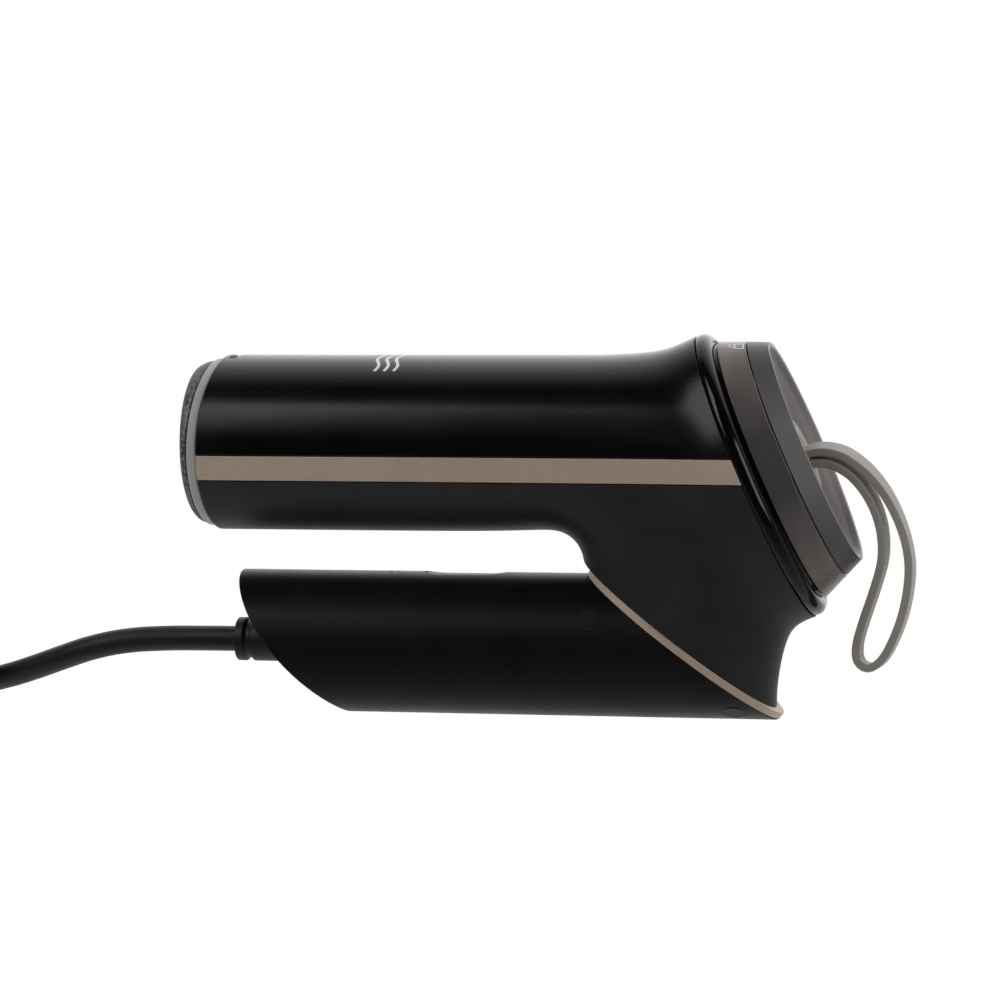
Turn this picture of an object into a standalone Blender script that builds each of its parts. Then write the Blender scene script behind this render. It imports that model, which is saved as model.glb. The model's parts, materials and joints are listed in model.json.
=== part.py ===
"""Folding travel garment steamer with a lift-off water tank and a mains lead tied in a hank.

Frame: +Z up, +X from the steam plate towards the water tank, +Y to the far side. The steamer is
folded and stands on the flat land under its handle, with the origin below the middle of its box.
All named sizes are in millimetres and degrees; meshes are built in metres.
"""

import math

import bmesh
import bpy
from mathutils import Vector

MM = 0.001
GAP = 0.3
WALL = 2.2
SEGMENTS = 32

# Body tube, which carries the steam plate at its -X end
BODY_R = 25.4
BODY_Z = 77.7
RIM_X = -98.4
RIM_SAG = 1.8
RIM_LEAN = 1.2
BEZEL_R = 24.3
BEZEL_T = 2.9
PLATE_R = 23.6
PLATE_FACE_X = -104.8
STRIP_LOW_Z = 67.0
STRIP_HIGH_Z = 74.3
SEAM_HALF = 0.15

# Collar plane, where the body meets the water tank
COLLAR = Vector((59.55, 0.0, 68.85))
COLLAR_TILT = math.radians(23.4)
COLLAR_A = 43.0
COLLAR_B = 28.8
TANK_OUT = Vector((math.cos(COLLAR_TILT), 0.0, math.sin(COLLAR_TILT)))
TANK_UP = Vector((-math.sin(COLLAR_TILT), 0.0, math.cos(COLLAR_TILT)))

# Handle tube and the slanted plane that it folds on
HANDLE_R = 20.5
HANDLE_Z = 20.2
FOLD = Vector((38.6, 0.0, HANDLE_Z))
FOLD_ANGLE = math.radians(36.6)
FOLD_OUT = Vector((math.sin(FOLD_ANGLE), 0.0, math.cos(FOLD_ANGLE)))
FOLD_DOWN = Vector((math.cos(FOLD_ANGLE), 0.0, -math.sin(FOLD_ANGLE)))
FOLD_A = HANDLE_R / math.sin(FOLD_ANGLE)
HUB_R = 8.5
SLEEVE_DEPTH = 0.25
RING_BASE = 0.25
RING_TOP = 2.45
SCREW_ANGLES = ((14.7, 23.9), (55.2, -62.0))

# Steam button on the side of the handle that faces the body
BUTTON_X = -25.0
BUTTON_L = 24.0
BUTTON_W = 10.6
BUTTON_BASE = 33.3
BUTTON_BLANK = 45.0
LENS_X = BUTTON_X - 21.0
BOARD_TOP = 25.1
SPRING_X = BUTTON_X - 6.0
SPRING_LOW = BOARD_TOP + 0.75
SPRING_HIGH = 32.6
SPRING_R = 3.0
SPRING_TURNS = 4

# Mains lead
CORD_R = 3.7
CORD_EXIT = Vector((-92.9, 0.0, 20.3))
CORD_ROUTE = (
    (-93.2, 0, 20.3), (-104, 0, 20.25), (-116, 0, 20.0), (-128, 0, 19.0), (-138, 0.6, 16.9),
    (-148, 3.0, 13.7), (-158, 6.5, 10.3), (-168, 10.6, 7.3), (-176.6, 14.2, 5.4),
)
# The hank of the spare length: two turns beside each other, three layers high
HANK_RIGHT = -207.0
HANK_RUN = 144.0
HANK_LEFT = HANK_RIGHT - HANK_RUN
HANK_Y = -8.0
HANK_FOLD = 22.2
HANK_PITCH = 7.5
HANK_INNER = HANK_FOLD - CORD_R
HANK_OUTER = HANK_FOLD + HANK_PITCH + CORD_R
HANK_LOW = 1.0
HANK_TOP = HANK_LOW + 2 * (HANK_PITCH + CORD_R)
TAIL_RUN = 84.0
TAIL_POINTS = 10
PLUG_Z = 7.3
PLUG_X = HANK_LEFT + TAIL_RUN
PLUG_SIDES = 16
PIN_SPACING = 19.0
PIN_ROOT = 55.3
PIN_TIP = 74.0
PIN_R = 2.0
TIE_W = 8.0
TIE_T = 0.6

Y_AXIS = Vector((0.0, 1.0, 0.0))
X_AXIS = Vector((1.0, 0.0, 0.0))
Z_AXIS = Vector((0.0, 0.0, 1.0))


def clear_scene():
    for item in list(bpy.data.objects):
        bpy.data.objects.remove(item, do_unlink=True)


def material(name, colour, roughness, metallic=0.0):
    made = bpy.data.materials.new(name)
    made.use_nodes = True
    shader = made.node_tree.nodes["Principled BSDF"]
    shader.inputs["Base Color"].default_value = (*colour, 1.0)
    shader.inputs["Roughness"].default_value = roughness
    shader.inputs["Metallic"].default_value = metallic
    return made


def add(name, points, faces, finish):
    """Make an object from points in millimetres, its faces turned outward."""
    mesh = bpy.data.meshes.new(name)
    mesh.from_pydata([Vector(point) * MM for point in points], [], faces)
    work = bmesh.new()
    work.from_mesh(mesh)
    bmesh.ops.recalc_face_normals(work, faces=work.faces)
    work.to_mesh(mesh)
    work.free()
    mesh.shade_smooth()
    mesh.set_sharp_from_angle(angle=math.radians(35))
    mesh.materials.append(finish)
    made = bpy.data.objects.new(name, mesh)
    bpy.context.collection.objects.link(made)
    return made


def oval(centre, along, across, semi_a, semi_b, count=SEGMENTS):
    """Points of an ellipse, from its top round past the near side."""
    steps = [2 * math.pi * index / count for index in range(count)]
    return [centre + along * semi_a * math.cos(turn) + across * semi_b * math.sin(turn)
            for turn in steps]


def loft(name, rings, finish, closed=False):
    """Join rings of equal count; a closed loft runs round to its first ring, an open one is capped."""
    count = len(rings[0])
    points = [point for ring in rings for point in ring]
    faces = []
    spans = len(rings) if closed else len(rings) - 1
    for span in range(spans):
        here = span * count
        there = ((span + 1) % len(rings)) * count
        for index in range(count):
            after = (index + 1) % count
            faces.append((here + index, here + after, there + after, there + index))
    if not closed:
        faces.append(tuple(range(count))[::-1])
        faces.append(tuple(range(len(points) - count, len(points))))
    return add(name, points, faces, finish)


def turned(name, origin, axis, profile, finish, closed=False, count=SEGMENTS):
    """Turn a profile of (distance along the axis, radius) pairs about that axis."""
    side = Y_AXIS if abs(axis.y) < 0.9 else X_AXIS
    up = side.cross(axis).normalized()
    side = axis.cross(up)
    rings = [oval(origin + axis * far, up, side, radius, radius, count) for far, radius in profile]
    return loft(name, rings, finish, closed)


def box(name, low, high, finish):
    (x0, y0, z0), (x1, y1, z1) = low, high
    base = [(x0, y0), (x1, y0), (x1, y1), (x0, y1)]
    return loft(name, [[(x, y, z0) for x, y in base], [(x, y, z1) for x, y in base]], finish)


def prism(name, outline, y_near, y_far, finish):
    """Extrude an outline of (x, z) points along Y."""
    rings = [[Vector((x, y, z)) for x, z in outline] for y in (y_near, y_far)]
    return loft(name, rings, finish)


def stadium(x_mid, y_mid, length, width, z, count=8):
    """Outline with round ends, in a level plane."""
    reach = length / 2 - width / 2
    points = []
    for end, start in ((1, -90), (-1, 90)):
        for index in range(count + 1):
            turn = math.radians(start + 180 * index / count)
            points.append(Vector((x_mid + end * reach + width / 2 * math.cos(turn),
                                  y_mid + width / 2 * math.sin(turn), z)))
    return points


def smooth_path(points, step):
    """A smooth curve through hand-placed points, read about every step millimetres."""
    nodes = [Vector(point) for point in points]
    ends = [nodes[0] * 2 - nodes[1]] + nodes + [nodes[-1] * 2 - nodes[-2]]
    path = []
    for index in range(len(nodes) - 1):
        before, start, end, after = ends[index:index + 4]
        count = max(1, round((end - start).length / step))
        for part in range(count):
            t = part / count
            path.append(0.5 * (2 * start + (end - before) * t
                               + (2 * before - 5 * start + 4 * end - after) * t ** 2
                               + (3 * start - before - 3 * end + after) * t ** 3))
    path.append(nodes[-1])
    return path


def tube(name, points, radius, finish, resolution=2):
    """A round rod or hose along points in millimetres, with closed ends."""
    curve = bpy.data.curves.new(name, "CURVE")
    curve.dimensions = "3D"
    curve.bevel_depth = radius * MM
    curve.bevel_resolution = resolution
    curve.use_fill_caps = True
    spline = curve.splines.new("POLY")
    spline.points.add(len(points) - 1)
    for target, point in zip(spline.points, points):
        target.co = (*(Vector(point) * MM), 1.0)
    curve.materials.append(finish)
    made = bpy.data.objects.new(name, curve)
    bpy.context.collection.objects.link(made)
    return made


def as_cutter(tool):
    tool.hide_render = True
    tool.display_type = "WIRE"
    return tool


def boolean(target, tool, operation="DIFFERENCE"):
    step = target.modifiers.new(f"{operation.lower()}_{tool.name}", "BOOLEAN")
    step.operation = operation
    step.object = tool
    return target


# ---------------------------------------------------------------- finishes

def make_finishes():
    return {
        "gloss_black": material("gloss_black", (0.012, 0.012, 0.013), 0.22),
        "satin_black": material("satin_black", (0.018, 0.018, 0.019), 0.45),
        "taupe": material("taupe", (0.26, 0.20, 0.15), 0.55),
        "grey_ring": material("grey_ring", (0.21, 0.21, 0.20), 0.5),
        "plate_metal": material("plate_metal", (0.30, 0.29, 0.28), 0.6, 0.6),
        "smoked": material("smoked", (0.09, 0.075, 0.07), 0.15),
        "silicone": material("silicone", (0.19, 0.17, 0.155), 0.6),
        "cord_black": material("cord_black", (0.012, 0.012, 0.012), 0.6),
        "aluminium": material("aluminium", (0.62, 0.62, 0.62), 0.4, 1.0),
        "steel": material("steel", (0.5, 0.5, 0.5), 0.3, 1.0),
        "brass": material("brass", (0.6, 0.45, 0.2), 0.35, 1.0),
        "board_green": material("board_green", (0.03, 0.16, 0.07), 0.5),
        "white_plastic": material("white_plastic", (0.7, 0.7, 0.68), 0.5),
        "clear_hose": material("clear_hose", (0.65, 0.62, 0.55), 0.4),
    }


# ---------------------------------------------------------------- housing

CAGE_COUNT = 16
HOLE_FIRST = 5
HOLE_LAST = 11
# x and z of the centre, lean in degrees, half height and half width of each ring of the cage
CAGE_RINGS = (
    (-125.0, BODY_Z, 0.0, BODY_R, BODY_R),
    (-60.0, BODY_Z, 0.0, BODY_R, BODY_R),
    (-9.0, BODY_Z, 0.0, BODY_R, BODY_R),
    (11.0, 77.6, 6.0, 25.6, 25.5),
    (27.5, 76.6, 13.0, 27.4, 25.9),
    (43.0, 73.4, 19.5, 32.6, 26.9),
    (54.8, 66.8, 23.4, 43.0, 28.1),
    (60.4, 69.2, 23.4, 43.2, 28.9),
    (67.6, 72.3, 23.4, 44.0, 29.6),
)
HOLE_FRONT = 2
HOLE_REAR = 6
# front and rear points (x, z), half width and rise at the sides of each ring of the neck
NECK_RINGS = (
    (3.5, 53.4, 68.6, 23.5, 22.9, 12.0),
    (9.4, 49.0, 66.2, 14.0, 21.7, 2.0),
    (10.4, 43.0, 65.2, 4.0, 20.7, 0.0),
    (11.3, 36.0, 66.4, -4.0, 20.6, 0.0),
)


def shrink_factor(count):
    """How much a subdivided ring of this many points pulls in from its cage."""
    return (2 + math.cos(2 * math.pi / count)) / 3


def housing_cage():
    """Points and faces of the cage: a tube that leans into the collar, with a neck under it."""
    points = []
    wide = 1 / shrink_factor(CAGE_COUNT)
    for x, z, lean, semi_a, semi_b in CAGE_RINGS:
        lean = math.radians(lean)
        up = Vector((-math.sin(lean), 0.0, math.cos(lean)))
        points += oval(Vector((x, 0.0, z)), up, -Y_AXIS, semi_a * wide, semi_b * wide, CAGE_COUNT)

    def vertex(ring, index):
        return ring * CAGE_COUNT + index % CAGE_COUNT

    faces = []
    for ring in range(len(CAGE_RINGS) - 1):
        for index in range(CAGE_COUNT):
            in_hole = HOLE_FRONT <= ring < HOLE_REAR and HOLE_FIRST <= index < HOLE_LAST
            if not in_hole:
                faces.append((vertex(ring, index), vertex(ring, index + 1),
                              vertex(ring + 1, index + 1), vertex(ring + 1, index)))

    middle = CAGE_COUNT // 2
    loop = [vertex(HOLE_FRONT, index) for index in range(middle, HOLE_FIRST - 1, -1)]
    loop += [vertex(ring, HOLE_FIRST) for ring in range(HOLE_FRONT + 1, HOLE_REAR)]
    loop += [vertex(HOLE_REAR, index) for index in range(HOLE_FIRST, HOLE_LAST + 1)]
    loop += [vertex(ring, HOLE_LAST) for ring in range(HOLE_REAR - 1, HOLE_FRONT, -1)]
    loop += [vertex(HOLE_FRONT, index) for index in range(HOLE_LAST, middle, -1)]

    count = len(loop)
    narrow = 1 / shrink_factor(count)
    for front_x, front_z, rear_x, rear_z, half_width, rise in NECK_RINGS:
        centre = Vector(((front_x + rear_x) / 2, 0.0, (front_z + rear_z) / 2))
        forward = Vector((front_x, 0.0, front_z)) - centre
        ring = []
        for index in range(count):
            turn = 2 * math.pi * index / count
            point = centre + forward * math.cos(turn) * narrow
            point -= Y_AXIS * half_width * math.sin(turn) * narrow
            ring.append(point + Z_AXIS * rise * math.sin(turn) ** 2)
        start = len(points)
        points += ring
        for index in range(count):
            after = (index + 1) % count
            faces.append((loop[index], start + index, start + after, loop[after]))
        loop = [start + index for index in range(count)]
    return points, faces


def rim_x(z, inset):
    """X of the body's front rim at a height, moved towards the plate by inset."""
    rise = (z - BODY_Z) / BODY_R
    return RIM_X + RIM_SAG * rise ** 2 + RIM_LEAN * rise - inset


def rim_slab(name, inset_out, inset_in, half, finish):
    """A curved slab across the front of the body, between two insets of its rim."""
    heights = [BODY_Z - half + 2 * half * index / 14 for index in range(15)]
    outline = [(rim_x(z, inset_out), z) for z in heights]
    outline += [(rim_x(z, inset_in), z) for z in reversed(heights)]
    return prism(name, outline, -half, half, finish)


def housing_piece(name, finish, tools):
    points, faces = housing_cage()
    made = add(name, points, faces, finish)
    smooth = made.modifiers.new("surface", "SUBSURF")
    smooth.levels = 1
    smooth.render_levels = 1
    smooth.use_limit_surface = True
    shell = made.modifiers.new("wall", "SOLIDIFY")
    shell.thickness = WALL * MM
    shell.offset = -1.0
    shell.use_even_offset = True
    for tool, operation in tools:
        boolean(made, tool, operation)
    return made


def make_housing(finish):
    gloss = finish["gloss_black"]
    front = as_cutter(rim_slab("cut_front", 40.0, 0.0, 60.0, gloss))
    collar = as_cutter(loft("cut_collar", [
        oval(COLLAR + TANK_OUT * far, TANK_UP, -Y_AXIS, 70.0, 60.0, 12) for far in (0.0, 40.0)], gloss))
    fold = as_cutter(loft("cut_fold", [
        oval(FOLD + FOLD_OUT * far, FOLD_DOWN, Y_AXIS, 46.0, 40.0, 12) for far in (2.75, -30.0)], gloss))
    above = as_cutter(box("keep_above", (-140, -60, STRIP_HIGH_Z + SEAM_HALF), (120, 60, 140), gloss))
    below = as_cutter(box("keep_below", (-140, -60, -40), (120, 60, STRIP_LOW_Z - SEAM_HALF), gloss))
    strips = {
        "trim_strip_left": as_cutter(box("keep_left", (-140, -60, STRIP_LOW_Z + SEAM_HALF),
                                         (120, -5, STRIP_HIGH_Z - SEAM_HALF), gloss)),
        "trim_strip_right": as_cutter(box("keep_right", (-140, 5, STRIP_LOW_Z + SEAM_HALF),
                                          (120, 60, STRIP_HIGH_Z - SEAM_HALF), gloss)),
    }
    slot = as_cutter(box("cut_slot", (-94.0, -7.0, 95.0), (-91.7, 7.0, 110.0), gloss))
    ends = [(front, "DIFFERENCE"), (collar, "DIFFERENCE")]
    housing_piece("top_cover", gloss, [(above, "INTERSECT"), *ends, (slot, "DIFFERENCE")])
    housing_piece("lower_housing", finish["satin_black"],
                  [(below, "INTERSECT"), *ends, (fold, "DIFFERENCE")])
    for name, keep in strips.items():
        housing_piece(name, finish["taupe"], [(keep, "INTERSECT"), *ends])


# ---------------------------------------------------------------- steam head

def plate_hole_centres():
    rings = ((0.0, 1), (7.5, 6), (15.0, 10))
    for radius, count in rings:
        for index in range(count):
            turn = 2 * math.pi * index / count
            yield radius * math.sin(turn), BODY_Z + radius * math.cos(turn)


def make_steam_head(finish):
    bezel = turned("plate_bezel", Vector((0, 0, BODY_Z)), X_AXIS,
                   [(-120, BEZEL_R), (-80, BEZEL_R), (-80, 19.0), (-120, 19.0)],
                   finish["grey_ring"], closed=True)
    boolean(bezel, as_cutter(rim_slab("bezel_slab", GAP + BEZEL_T, GAP, 40.0, finish["grey_ring"])),
            "INTERSECT")

    edge = 1.2
    back_x = -90.0
    plate = turned("steam_plate", Vector((0, 0, BODY_Z)), X_AXIS,
                   [(PLATE_FACE_X, PLATE_R - 7.0), (PLATE_FACE_X + 0.5, PLATE_R - 2.4),
                    (PLATE_FACE_X + 1.6, PLATE_R - 0.4), (PLATE_FACE_X + 1.6 + edge, PLATE_R),
                    (back_x, PLATE_R)], finish["plate_metal"])
    keep = as_cutter(rim_slab("plate_slab", 20.0, GAP + BEZEL_T + GAP, 40.0, finish["plate_metal"]))
    boolean(plate, keep, "INTERSECT")
    for number, (y, z) in enumerate(plate_hole_centres()):
        drill = turned(f"plate_drill_{number}", Vector((0, y, z)), X_AXIS,
                       [(-115, 1.1), (-85, 1.1)], finish["plate_metal"], count=8)
        boolean(plate, as_cutter(drill))

    turned("boiler_block", Vector((0, 0, BODY_Z)), X_AXIS,
           [(-99.8, 17.5), (-66, 17.5), (-66, 2.0), (-93, 2.0), (-93, 13.0), (-99.8, 13.0)],
           finish["aluminium"], closed=True)
    sweep = [math.radians(-60 + 300 * index / 30) for index in range(31)]
    tube("heating_element", [(-84 + 8 * index / 30, 20.3 * math.sin(turn), BODY_Z + 20.3 * math.cos(turn))
                             for index, turn in enumerate(sweep)], 2.0, finish["steel"])
    turned("thermostat", Vector((0, 0, BODY_Z + 9)), X_AXIS, [(-65.7, 6.0), (-60.5, 6.0), (-60.5, 2.0),
           (-58, 2.0)], finish["steel"], count=20)
    turned("thermal_fuse", Vector((-63.4, 0, BODY_Z - 9)), Y_AXIS, [(-7, 2.0), (7, 2.0)],
           finish["steel"], count=12)


# ---------------------------------------------------------------- water circuit

def make_water_circuit(finish):
    pump_z = 79.5
    turned("pump_body", Vector((0, 0, pump_z)), X_AXIS,
           [(-46, 2.4), (-42, 2.4), (-42, 9.0), (-8, 9.0), (-8, 3.7), (-36, 3.7), (-36, 1.2),
            (-46, 1.2)], finish["white_plastic"], closed=True, count=24)
    turned("pump_plunger", Vector((0, 0, pump_z)), X_AXIS,
           [(-33, 3.3), (-12, 3.3), (-12, 1.4), (-33, 1.4)], finish["steel"], closed=True, count=16)
    tube("outlet_hose", smooth_path([(-65.7, 0, BODY_Z), (-60, 0, BODY_Z), (-53, 0, BODY_Z + 0.8),
                                     (-46.4, 0, pump_z)], 3.0), 2.2, finish["clear_hose"])
    tube("inlet_hose", smooth_path([(39.5, 0, 55.0), (33, 0, 54), (24, 0, 58), (14, 0, 68),
                                    (4, 0, 77), (-2, 0, pump_z), (-7.6, 0, pump_z)], 4.0), 2.4,
         finish["clear_hose"])
    port = COLLAR - TANK_UP * 12.0
    socket = loft("tank_socket", [oval(COLLAR + TANK_OUT * far, TANK_UP, -Y_AXIS, 32.0, 21.0)
                                  for far in (-18.0, -15.5)], finish["satin_black"])
    drill = turned("socket_drill", port, TANK_OUT, [(-25, 2.0), (-5, 2.0)], finish["satin_black"], count=12)
    boolean(socket, as_cutter(drill))
    turned("tank_seal", port, TANK_OUT, [(-15.2, 4.2), (-14.2, 3.4), (-13.3, 4.2), (-12.4, 5.6),
           (-13.3, 6.8), (-15.2, 6.8)], finish["silicone"], closed=True, count=16)


# ---------------------------------------------------------------- collar and tank

def collar_oval(far, inset, drop=0.0):
    """An oval along the tank; drop lowers its lowest point and leaves its top where it is."""
    centre = COLLAR + TANK_OUT * far - TANK_UP * drop
    return oval(centre, TANK_UP, -Y_AXIS, COLLAR_A - inset + drop, COLLAR_B - inset)


def collar_round(far, semi_a, semi_b):
    return oval(COLLAR + TANK_OUT * far, TANK_UP, -Y_AXIS, semi_a, semi_b)


def make_collar(finish):
    section = ((0.3, 0.0), (1.6, -0.1), (3.2, 0.5), (4.5, 1.9), (5.0, 3.4), (5.0, 6.2), (0.3, 6.2))
    loft("collar_ring", [collar_oval(far, inset) for far, inset in section], finish["gloss_black"],
         closed=True)


def make_tank(finish):
    smoked = finish["smoked"]
    body = loft("tank_body", [collar_oval(far, inset) for far, inset in (
        (-12.0, 8.0), (-11.0, 7.2), (5.3, 6.8), (5.3, 3.8), (12.8, 7.1), (12.8, 8.9), (6.2, 8.7),
        (-10.0, 9.1))], smoked)
    port = COLLAR - TANK_UP * 12.0
    boolean(body, as_cutter(turned("tank_drill", port, TANK_OUT, [(-16, 3.0), (-6, 3.0)], smoked, count=16)))

    outside = [collar_oval(far, inset, drop) for far, inset, drop in (
        (13.1, 7.2, 0.0), (17.8, 9.1, 0.4), (18.9, 9.7, 0.5), (19.3, 10.8, 0.5), (18.8, 12.4, 0.3),
        (16.2, 14.0, 0.0))]
    dish = [collar_round(14.0, 25.0, 13.6), collar_round(12.9, 15.0, 12.6),
            collar_round(12.9, 8.3, 8.3), collar_round(11.1, 8.3, 8.3),
            collar_round(11.1, 14.5, 12.2), collar_round(12.2, 24.6, 13.4)]
    inside = [collar_oval(far, inset) for far, inset in (
        (14.6, 14.2), (17.0, 12.2), (16.7, 10.9), (13.1, 9.0))]
    loft("tank_cover", outside + dish + inside, smoked, closed=True)

    turned("tank_valve", port, TANK_OUT, [(-13.6, 1.6), (-13.0, 2.6), (-9.6, 2.6), (-9.6, 4.6),
           (-8.2, 4.6), (-7.6, 2.0), (-4.0, 2.0)], finish["white_plastic"], count=16)
    turned("filler_plug", COLLAR, TANK_OUT, [(8.4, 7.2), (9.4, 7.9), (13.2, 7.9), (13.2, 11.2),
           (13.6, 11.5), (15.0, 11.5), (15.6, 10.9)], finish["silicone"])


STRAP_PATH = (
    (74.3, 76.0), (79.0, 76.7), (84.5, 75.6), (89.8, 72.2), (94.6, 67.3), (98.7, 60.9),
    (101.9, 53.2), (103.5, 45.5), (103.3, 38.0), (101.6, 29.6), (98.6, 21.8), (95.6, 17.0),
    (92.1, 15.0), (89.2, 17.0), (88.9, 21.6), (90.8, 28.5), (93.6, 36.8), (95.9, 45.3),
    (95.9, 53.0), (94.0, 60.0), (90.6, 66.1), (86.2, 70.6), (80.6, 73.2), (75.2, 73.3),
)
STRAP_W = 9.0
STRAP_T = 2.3


def make_strap(finish):
    """A flat silicone loop, its band square to the drawing plane and its edges chamfered."""
    path = smooth_path([(x, 0, z) for x, z in STRAP_PATH], 4.2)
    rings = []
    for index, point in enumerate(path):
        ahead = path[min(index + 1, len(path) - 1)] - path[max(index - 1, 0)]
        across = Vector((-ahead.z, 0.0, ahead.x)).normalized() * STRAP_T / 2
        side = Y_AXIS * STRAP_W / 2
        rings.append([point + across * a + side * s for a, s in (
            (0.6, -1), (1, -0.88), (1, 0.88), (0.6, 1), (-0.6, 1), (-1, 0.88), (-1, -0.88), (-0.6, -1))])
    loft("strap_loop", rings, finish["silicone"])


# ---------------------------------------------------------------- fold joint

def slant_ring(depth, radius, count=SEGMENTS):
    """The handle tube's section on a plane parallel to the fold plane, depth below it."""
    centre = FOLD - X_AXIS * depth / math.sin(FOLD_ANGLE)
    return oval(centre, FOLD_DOWN, Y_AXIS, radius / math.sin(FOLD_ANGLE), radius, count)


def make_fold_joint(finish):
    ring = loft("joint_ring", [oval(FOLD + FOLD_OUT * far, FOLD_DOWN, Y_AXIS, FOLD_A, HANDLE_R)
                               for far in (RING_BASE, RING_TOP)], finish["taupe"])
    bore = [(-20, HUB_R + GAP), (20, HUB_R + GAP)]
    boolean(ring, as_cutter(turned("ring_bore", FOLD, FOLD_OUT, bore, finish["taupe"])))
    boolean(ring, as_cutter(box("ring_land", (40, -30, -10), (80, 30, GAP), finish["taupe"])))
    turned("pivot_hub", FOLD, FOLD_OUT, [(2.75, 14.0), (5.0, 14.0), (5.0, 5.5), (-8.5, 5.5),
           (-8.5, HUB_R), (-6.8, HUB_R), (-6.8, 7.5), (-5.3, 7.5), (-5.3, HUB_R), (2.75, HUB_R)],
           finish["white_plastic"], closed=True, count=24)
    turned("pivot_washer", FOLD, FOLD_OUT, [(-3.9, 8.8), (-3.9, 11.0), (-5.0, 11.0), (-5.0, 8.8)],
           finish["steel"], closed=True, count=20)
    turned("retaining_ring", FOLD, FOLD_OUT, [(-5.6, 7.8), (-5.6, 10.6), (-6.5, 10.6), (-6.5, 7.8)],
           finish["steel"], closed=True, count=20)


# ---------------------------------------------------------------- handle

END_TOP = (-91.6, 41.3)
END_BOTTOM = (-58.6, -0.4)
END_SAG = 3.6
# The tube is made this long before its slanted end is cut
HANDLE_BLANK_X = -115.0


def end_curve(inset, reach=0.5, count=20):
    """The slanted, bowed end of the handle in (x, z), moved into the handle by inset."""
    top = Vector((END_TOP[0], END_TOP[1]))
    bottom = Vector((END_BOTTOM[0], END_BOTTOM[1]))
    down = bottom - top
    out = Vector((down.y, -down.x)).normalized()
    points = []
    for index in range(count + 1):
        part = -reach + (1 + 2 * reach) * index / count
        bow = END_SAG * (1 - (2 * part - 1) ** 2)
        spot = top + down * part + out * (bow - inset)
        points.append((spot.x, spot.y))
    return points


def end_slab(name, inset_out, inset_in, finish):
    outline = end_curve(inset_out) + end_curve(inset_in)[::-1]
    return as_cutter(prism(name, outline, -30.0, 30.0, finish))


def screw_frame(x, angle, side):
    """Centre on the handle's axis and outward direction of one screw."""
    turn = math.radians(angle)
    return Vector((x, 0.0, HANDLE_Z)), Vector((0.0, side * math.cos(turn), math.sin(turn)))


def make_handle(finish):
    satin = finish["satin_black"]
    left = HANDLE_BLANK_X
    sleeve = loft("handle_sleeve", [
        slant_ring(SLEEVE_DEPTH, HANDLE_R),
        oval(Vector((left, 0, HANDLE_Z)), -Z_AXIS, Y_AXIS, HANDLE_R, HANDLE_R),
        oval(Vector((left, 0, HANDLE_Z)), -Z_AXIS, Y_AXIS, HANDLE_R - WALL, HANDLE_R - WALL),
        slant_ring(SLEEVE_DEPTH, HANDLE_R - WALL)], satin, closed=True)
    boolean(sleeve, end_slab("cut_end", -60.0, 0.0, satin))
    boolean(sleeve, as_cutter(box("cut_land", (-120, -30, -10), (100, 30, 0), satin)))
    slot = loft("cut_button", [stadium(BUTTON_X, 0, BUTTON_L, BUTTON_W, z)
                               for z in (30.0, BUTTON_BLANK)], satin)
    boolean(sleeve, as_cutter(slot))
    lens_hole = turned("cut_lens", Vector((LENS_X, 0, 0)), Z_AXIS, [(30, 1.9), (BUTTON_BLANK, 1.9)],
                       satin, count=12)
    boolean(sleeve, as_cutter(lens_hole))

    frame = loft("handle_frame", [
        slant_ring(0.8, HANDLE_R - WALL - GAP), slant_ring(13.0, HANDLE_R - WALL - GAP),
        slant_ring(13.0, 13.5), slant_ring(3.6, 13.5)], finish["white_plastic"])
    bore = turned("frame_bore", FOLD, FOLD_OUT, [(-20, HUB_R + GAP), (20, HUB_R + GAP)],
                  finish["white_plastic"])
    boolean(frame, as_cutter(bore))

    for row, (x, angle) in enumerate(SCREW_ANGLES, 1):
        for word, side in (("left", -1), ("right", 1)):
            centre, out = screw_frame(x, angle, side)
            name = f"{word}_{row}"
            boolean(sleeve, as_cutter(turned(f"cut_plug_{name}", centre, out,
                                             [(14, 3.4), (26, 3.4)], satin, count=20)))
            boolean(frame, as_cutter(turned(f"cut_screw_{name}", centre, out,
                                            [(8, 1.6), (24, 1.6)], satin, count=10)))
            turned(f"screw_plug_{name}", centre, out,
                   [(19.4, 2.9), (19.4, 3.15), (20.3, 3.15), (20.6, 2.6)], satin, count=20)
            turned(f"screw_{name}", centre, out,
                   [(16.0, 1.3), (18.3, 1.3), (18.3, 2.6), (19.1, 2.2)], finish["steel"], count=10)

    cap = turned("handle_end_cap", Vector((0, 0, HANDLE_Z)), X_AXIS,
                 [(HANDLE_BLANK_X, 18.2), (-40, 18.2)], satin)
    boolean(cap, end_slab("cap_slab", -1.0, 3.0, satin), "INTERSECT")
    boolean(cap, as_cutter(turned("cap_bore", Vector((0, 0, CORD_EXIT.z)), X_AXIS,
                                  [(-110, 6.7), (-50, 6.7)], satin)))
    turned("strain_relief", Vector((0, 0, CORD_EXIT.z)), X_AXIS,
           [(-92.9, 5.6), (-92.3, 6.35), (-90.2, 6.35), (-89.6, 5.6), (-88.1, 5.6), (-88.1, 6.35),
            (-70, 6.35), (-66, 4.6)], finish["cord_black"], count=24)
    box("cord_clamp", (-65.6, -9, 15), (-58, 9, 22.8), finish["white_plastic"])

    box("circuit_board", (-55, -15, BOARD_TOP - 1.6), (2, 15, BOARD_TOP), finish["board_green"])
    box("micro_switch", (-22, -3.2, BOARD_TOP + GAP), (-14, 3.2, 31.2), finish["cord_black"])
    make_button(finish)
    turned("led_lens", Vector((LENS_X, 0, 0)), Z_AXIS,
           [(36, 1.6), (40.3, 1.6), (40.6, 0.9)], finish["white_plastic"], count=12)


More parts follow.
